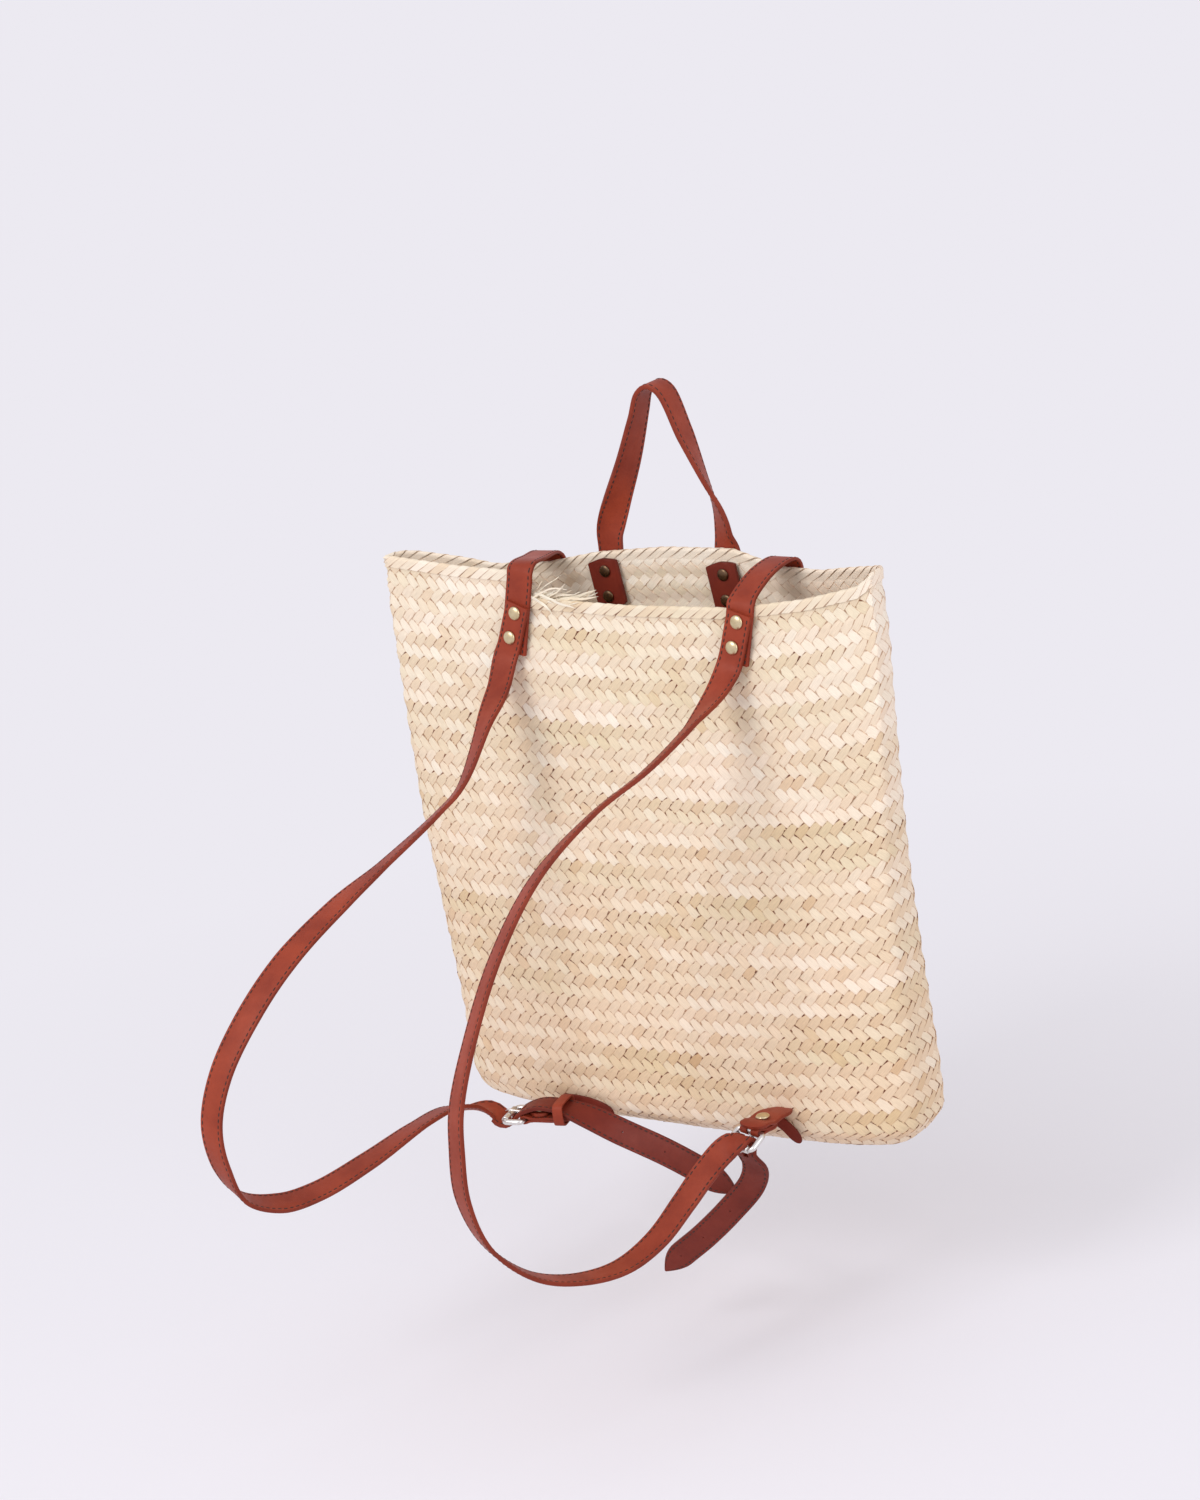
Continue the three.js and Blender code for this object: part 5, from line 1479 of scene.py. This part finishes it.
# %% Metal materials
def metal_material(name, dark, light, rough_low, rough_high):
    material, shader, add = new_material(name)
    place = add("ShaderNodeTexCoord").outputs["Object"]
    worn = {"Vector": place, "Scale": 260.0, "Detail": 4.0, "Roughness": 0.6}
    wear = add("ShaderNodeTexNoise", worn).outputs["Fac"]
    feed(shader.inputs["Base Color"], ramp_of(add, wear, [(0.3, dark), (0.7, light)]))
    feed(shader.inputs["Roughness"], ranged(add, wear, 0.3, 0.7, rough_high, rough_low))
    shader.inputs["Metallic"].default_value = 1.0
    return material


brass = metal_material("pale_brass", (0.58, 0.46, 0.27), (0.72, 0.60, 0.38), 0.26, 0.40)
bronze = metal_material("dark_bronze", (0.10, 0.060, 0.035), (0.17, 0.105, 0.060), 0.26, 0.42)
nickel = metal_material("nickel", (0.70, 0.68, 0.65), (0.78, 0.76, 0.73), 0.28, 0.36)
print("metals:", brass.name, bronze.name, nickel.name)

# %% [markdown]
# ## Rivets
# A rivet is a shank with a domed cap on one end and a smaller burr on the other. A ball and a cylinder
# would overlap, so its outline is drawn once, from the cap's top down to the burr, and spun about its axis
# into one closed body. The inner ends of the band rivets stay hidden in the braid.

# %% Rivets
CAP_RADIUS = 5.0
BURR_RADIUS = 4.5
BURR_HEIGHT = 1.6
SHANK_RADIUS = 2
BAND_RIVETS = (383, 366)
HANDLE_RIVETS = (398, 379)
BAND_SINK = 5.0
ANCHOR_CAP_LIFT = {-1: 0.0, 1: 1.3}


def spun(profile, steps=28):
    """A closed body of revolution from a profile of radius and height that starts and ends on the axis."""
    bm = bmesh.new()
    verts = [bm.verts.new((r, 0, z)) for r, z in profile]
    edges = [bm.edges.new(pair) for pair in zip(verts, verts[1:])]
    bmesh.ops.spin(bm, geom=verts + edges, axis=(0, 0, 1), cent=(0, 0, 0), angle=2 * math.pi, steps=steps,
                   use_merge=True)
    bmesh.ops.remove_doubles(bm, verts=bm.verts, dist=1e-4)
    bmesh.ops.recalc_face_normals(bm, faces=bm.faces)
    return bm


def placed(bm, origin, axis, side_way=None):
    """The body moved so that its height lies along an axis, as a mesh in the frame."""
    axis = Vector(axis).normalized()
    side_way = Vector(side_way) if side_way is not None else axis.orthogonal()
    side_way = (side_way - axis * side_way.dot(axis)).normalized()
    turn = Matrix((side_way, axis.cross(side_way), axis)).transposed().to_4x4()
    bmesh.ops.transform(bm, matrix=turn, verts=bm.verts)
    mesh = mesh_from(bm, "turned")
    write_points(mesh, to_frame(read_points(mesh) + np.asarray(origin)))
    return mesh


def dome(radius, height, base):
    """Profile of a domed cap from its top down to its rim."""
    turns = np.linspace(0, math.pi / 2, 8)
    arc = [(radius * math.sin(a), base + height * (0.22 + 0.78 * math.cos(a))) for a in turns]
    return [*arc, (radius, base + 0.1), (radius - 0.35, base)]


def add_rivet(node, material, slot, burr, cap):
    """A rivet whose lower end sits on burr and whose cap sits on cap."""
    axis = unit(cap - burr)
    length = float(np.linalg.norm(cap - burr))
    under = [(r, -z) for r, z in dome(BURR_RADIUS, BURR_HEIGHT, 0)][::-1]
    profile = [*dome(CAP_RADIUS, CAP_HEIGHT, length), (SHANK_RADIUS, length), (SHANK_RADIUS, 0), *under]
    rivet = joined_object(node.replace("rivet", "stud"), [placed(spun(profile), burr, axis)], material)
    dress(rivet, "bag", slot, node)


def wall_seats(x, z, side, outside, inside):
    """Where a rivet through the wall ends, with so much leather outside and inside."""
    point, out, _, _ = wall_place(x, z, side)
    return point - out * (WALL + inside + 2 * SEAT_GAP), point + out * (outside + SEAT_GAP)


strap_stack = 2 * SEAT_GAP + BAND_THICKNESS + STRAP_THICKNESS
band_stack = SEAT_GAP + BAND_THICKNESS
handle_stack = SEAT_GAP + HANDLE_THICKNESS
tab_stack = SEAT_GAP + TAB_THICKNESS
for hand, side in SIDE_NAMES.items():
    for k in (0, 1):
        number = f"{side}_{k + 1}"
        strap_x = leaning_x(hand, STRAP_RIVETS[k], STRAP_LEAN[hand])
        strap_seats = wall_seats(strap_x, STRAP_RIVETS[k], NEAR, strap_stack, 0)
        band_seats = wall_seats(hand * BAND_FAR_X, BAND_RIVETS[k], FAR, band_stack, -BAND_SINK)
        handle_seats = wall_seats(hand * HANDLE_X, HANDLE_RIVETS[k], FAR, handle_stack, tab_stack)
        add_rivet(f"strap_rivet_{number}", brass, "brass", *strap_seats)
        add_rivet(f"band_rivet_{number}", brass, "brass", *band_seats)
        add_rivet(f"handle_rivet_{number}", bronze, "bronze", *handle_seats)
    low = BUCKLES[hand]["pivot"] - UP * anchor_base
    high = BUCKLES[hand]["pivot"] + UP * (anchor_base + ANCHOR_THICKNESS + SEAT_GAP + ANCHOR_CAP_LIFT[hand])
    add_rivet(f"anchor_rivet_{side}", brass, "brass", low, high)
print("14 rivets")

# %% [markdown]
# ## Buckles
# A buckle is a bent frame with a roller on one bar and a prong on the other. A curve with a round bevel
# could draw both, but the prong's section is an oval that tapers. So both are tubes: grids rolled round a
# path, whose rings have radii of their own. The roller and the prong's eye are spun, to turn on their bars.

# %% Buckles
FRAME_REACH = 13.1
FRAME_CORNER = 3.4
BAR_RADIUS = 1.6
SIDE_RADIUS = 2.2
ROLLER_HALF = 10.0
BORE_RADIUS = 1.8
EYE_RADIUS = 3.0
EYE_HALF = 2.0
ROUND = 12


def tube(path, normals, radii, closed):
    """A tube along a path: a grid whose rows become rings about the path's points."""
    count = len(path)
    steps = count if closed else count - 1
    bm = bmesh.new()
    bmesh.ops.create_grid(bm, x_segments=steps, y_segments=ROUND, size=0.5)
    path, normals = np.asarray(path, float), np.asarray(normals, float)
    along = np.roll(path, -1, axis=0) - np.roll(path, 1, axis=0) if closed else np.gradient(path, axis=0)
    along /= np.linalg.norm(along, axis=1, keepdims=True)
    wide = np.cross(normals, along)
    for v in bm.verts:
        i = round((v.co.x + 0.5) * steps) % count
        a = round((v.co.y + 0.5) * ROUND) / ROUND * 2 * math.pi
        ring = wide[i] * math.cos(a) * radii[i][0] + normals[i] * math.sin(a) * radii[i][1]
        v.co = path[i] + ring
    bmesh.ops.remove_doubles(bm, verts=bm.verts, dist=1e-3)
    if not closed:
        bmesh.ops.holes_fill(bm, edges=[e for e in bm.edges if e.is_boundary], sides=0)
    bmesh.ops.recalc_face_normals(bm, faces=bm.faces)
    mesh = mesh_from(bm, "tube")
    write_points(mesh, to_frame(read_points(mesh)))
    return mesh


def add_buckle_frame(hand):
    buckle, side = BUCKLES[hand], SIDE_NAMES[hand]
    middle = (buckle["heel"] + buckle["roller"]) / 2
    path, radii = [], []
    for a, (h, w) in zip((0, 90, 180, 270), ((1, 1), (-1, 1), (-1, -1), (1, -1))):
        for b in np.linspace(0, 90, 7):
            turn = math.radians(a + b)
            x = h * (HEEL_TO_ROLLER / 2 - FRAME_CORNER) + FRAME_CORNER * math.cos(turn)
            y = w * (FRAME_REACH - FRAME_CORNER) + FRAME_CORNER * math.sin(turn)
            path.append(middle + buckle["hang"] * x + buckle["across"] * y)
            thick = lerp(BAR_RADIUS, SIDE_RADIUS, abs(math.sin(turn)))
            radii.append((thick, thick))
    normals = [buckle["prong_side"]] * len(path)
    frame_piece = joined_object(f"frame_{side}", [tube(path, normals, radii, True)], nickel)
    dress(frame_piece, f"strap_{side}", "nickel", f"buckle_frame_{side}")


def sleeve(radius, half, rounding):
    """Closed profile of a sleeve on a bar, with its outer corners taken off."""
    lower = [(BORE_RADIUS, -half), (radius - rounding, -half), (radius, -half + rounding)]
    return [*lower, *[(r, -z) for r, z in lower[::-1]], lower[0]]


def add_roller(hand):
    buckle, side = BUCKLES[hand], SIDE_NAMES[hand]
    mesh = placed(spun(sleeve(ROLLER_RADIUS, ROLLER_HALF, 0.4)), buckle["roller"], buckle["across"])
    roller = joined_object(f"roller_{side}", [mesh], nickel)
    dress(roller, f"roller_{side}", "nickel", f"buckle_roller_{side}")


def add_prong(hand):
    buckle, side = BUCKLES[hand], SIDE_NAMES[hand]
    eye = spun(sleeve(EYE_RADIUS, EYE_HALF, 0.3), 20)
    meshes = [placed(eye, buckle["heel"], buckle["across"])]
    rest = ROLLER_RADIUS + SEAT_GAP + PRONG_THICKNESS / 2
    root = EYE_RADIUS - PRONG_THICKNESS / 2
    line = [(15, root), (7.5, (root + rest) / 2 + 0.2), (0, rest), (-3, rest - 0.8)]
    route = smooth_route([(from_roller(buckle, *place), buckle["across"]) for place in line])
    count = len(route["point"])
    taper = np.interp(np.arange(count), (0, count - 4, count - 1), (1.0, 0.9, 0.35))
    radii = [(1.0 * t, 1.3 * t) for t in taper]
    meshes.append(tube(route["point"], [buckle["across"]] * count, radii, False))
    dress(joined_object(f"prong_{side}", meshes, nickel), f"prong_{side}", "nickel", f"buckle_prong_{side}")


for hand in (-1, 1):
    add_buckle_frame(hand)
    add_roller(hand)
    add_prong(hand)
print("two buckles")

# %% [markdown]
# ## Loose ends of the braid
# Beside the left strap the braid ends and its strips are left long. They lie in a loose bunch along the
# lower rim. Hair would be round and would have to be turned into meshes, so each is a thin tapered strip
# from the start, on its own wavy route from a seeded random walk.

# %% Loose straws
LOOSE_STRAWS = 38


def loose_straw(start, heading, length, width):
    steps = 7
    point, rows = np.array(start, float), []
    heading = unit(heading)
    for _ in range(steps):
        rows.append((point.copy(), unit(rng.normal(0, 0.35, 3) + (0, 0.3, 1))))
        heading = unit(heading + rng.normal(0, 0.16, 3) * (0.6, 0.8, 1))
        point += heading * length / (steps - 1)
    route = smooth_route(rows)
    mesh = flat_strap(route["length"], width, 0.5, 3.0, {"end": (0.5 * length, "point")}, groove=0)
    return bent(mesh, route)


def add_loose_straws():
    meshes, owner = [], []
    left = lean(400) + STEP_SHARE * half_width(400)
    for k in range(LOOSE_STRAWS):
        x = left + rng.uniform(-8, 26)
        z = 387 + rng.uniform(0, 9) * np.clip((left + 24 - x) / 24, 0.25, 1)
        y = outer_y(x, 388, NEAR) + rng.uniform(0.5, 5)
        heading = (1, 0.05, rng.normal(0.02, 0.18))
        meshes.append(loose_straw((x, y, z), heading, rng.uniform(16, 44), rng.uniform(0.9, 2.4)))
        owner += [k] * len(meshes[-1].vertices)
    bunch = joined_object("loose_straws", meshes, straw)
    tints = rng.uniform((0.75, 0, 0, 0), (1, 0.2, 0.2, 1), (LOOSE_STRAWS, 4))
    add_tints(bunch.data, np.array(owner), tints)
    return dress(bunch, "bag", "straw", "straw_basket")


print("loose_straws", len(add_loose_straws().data.polygons), "faces")
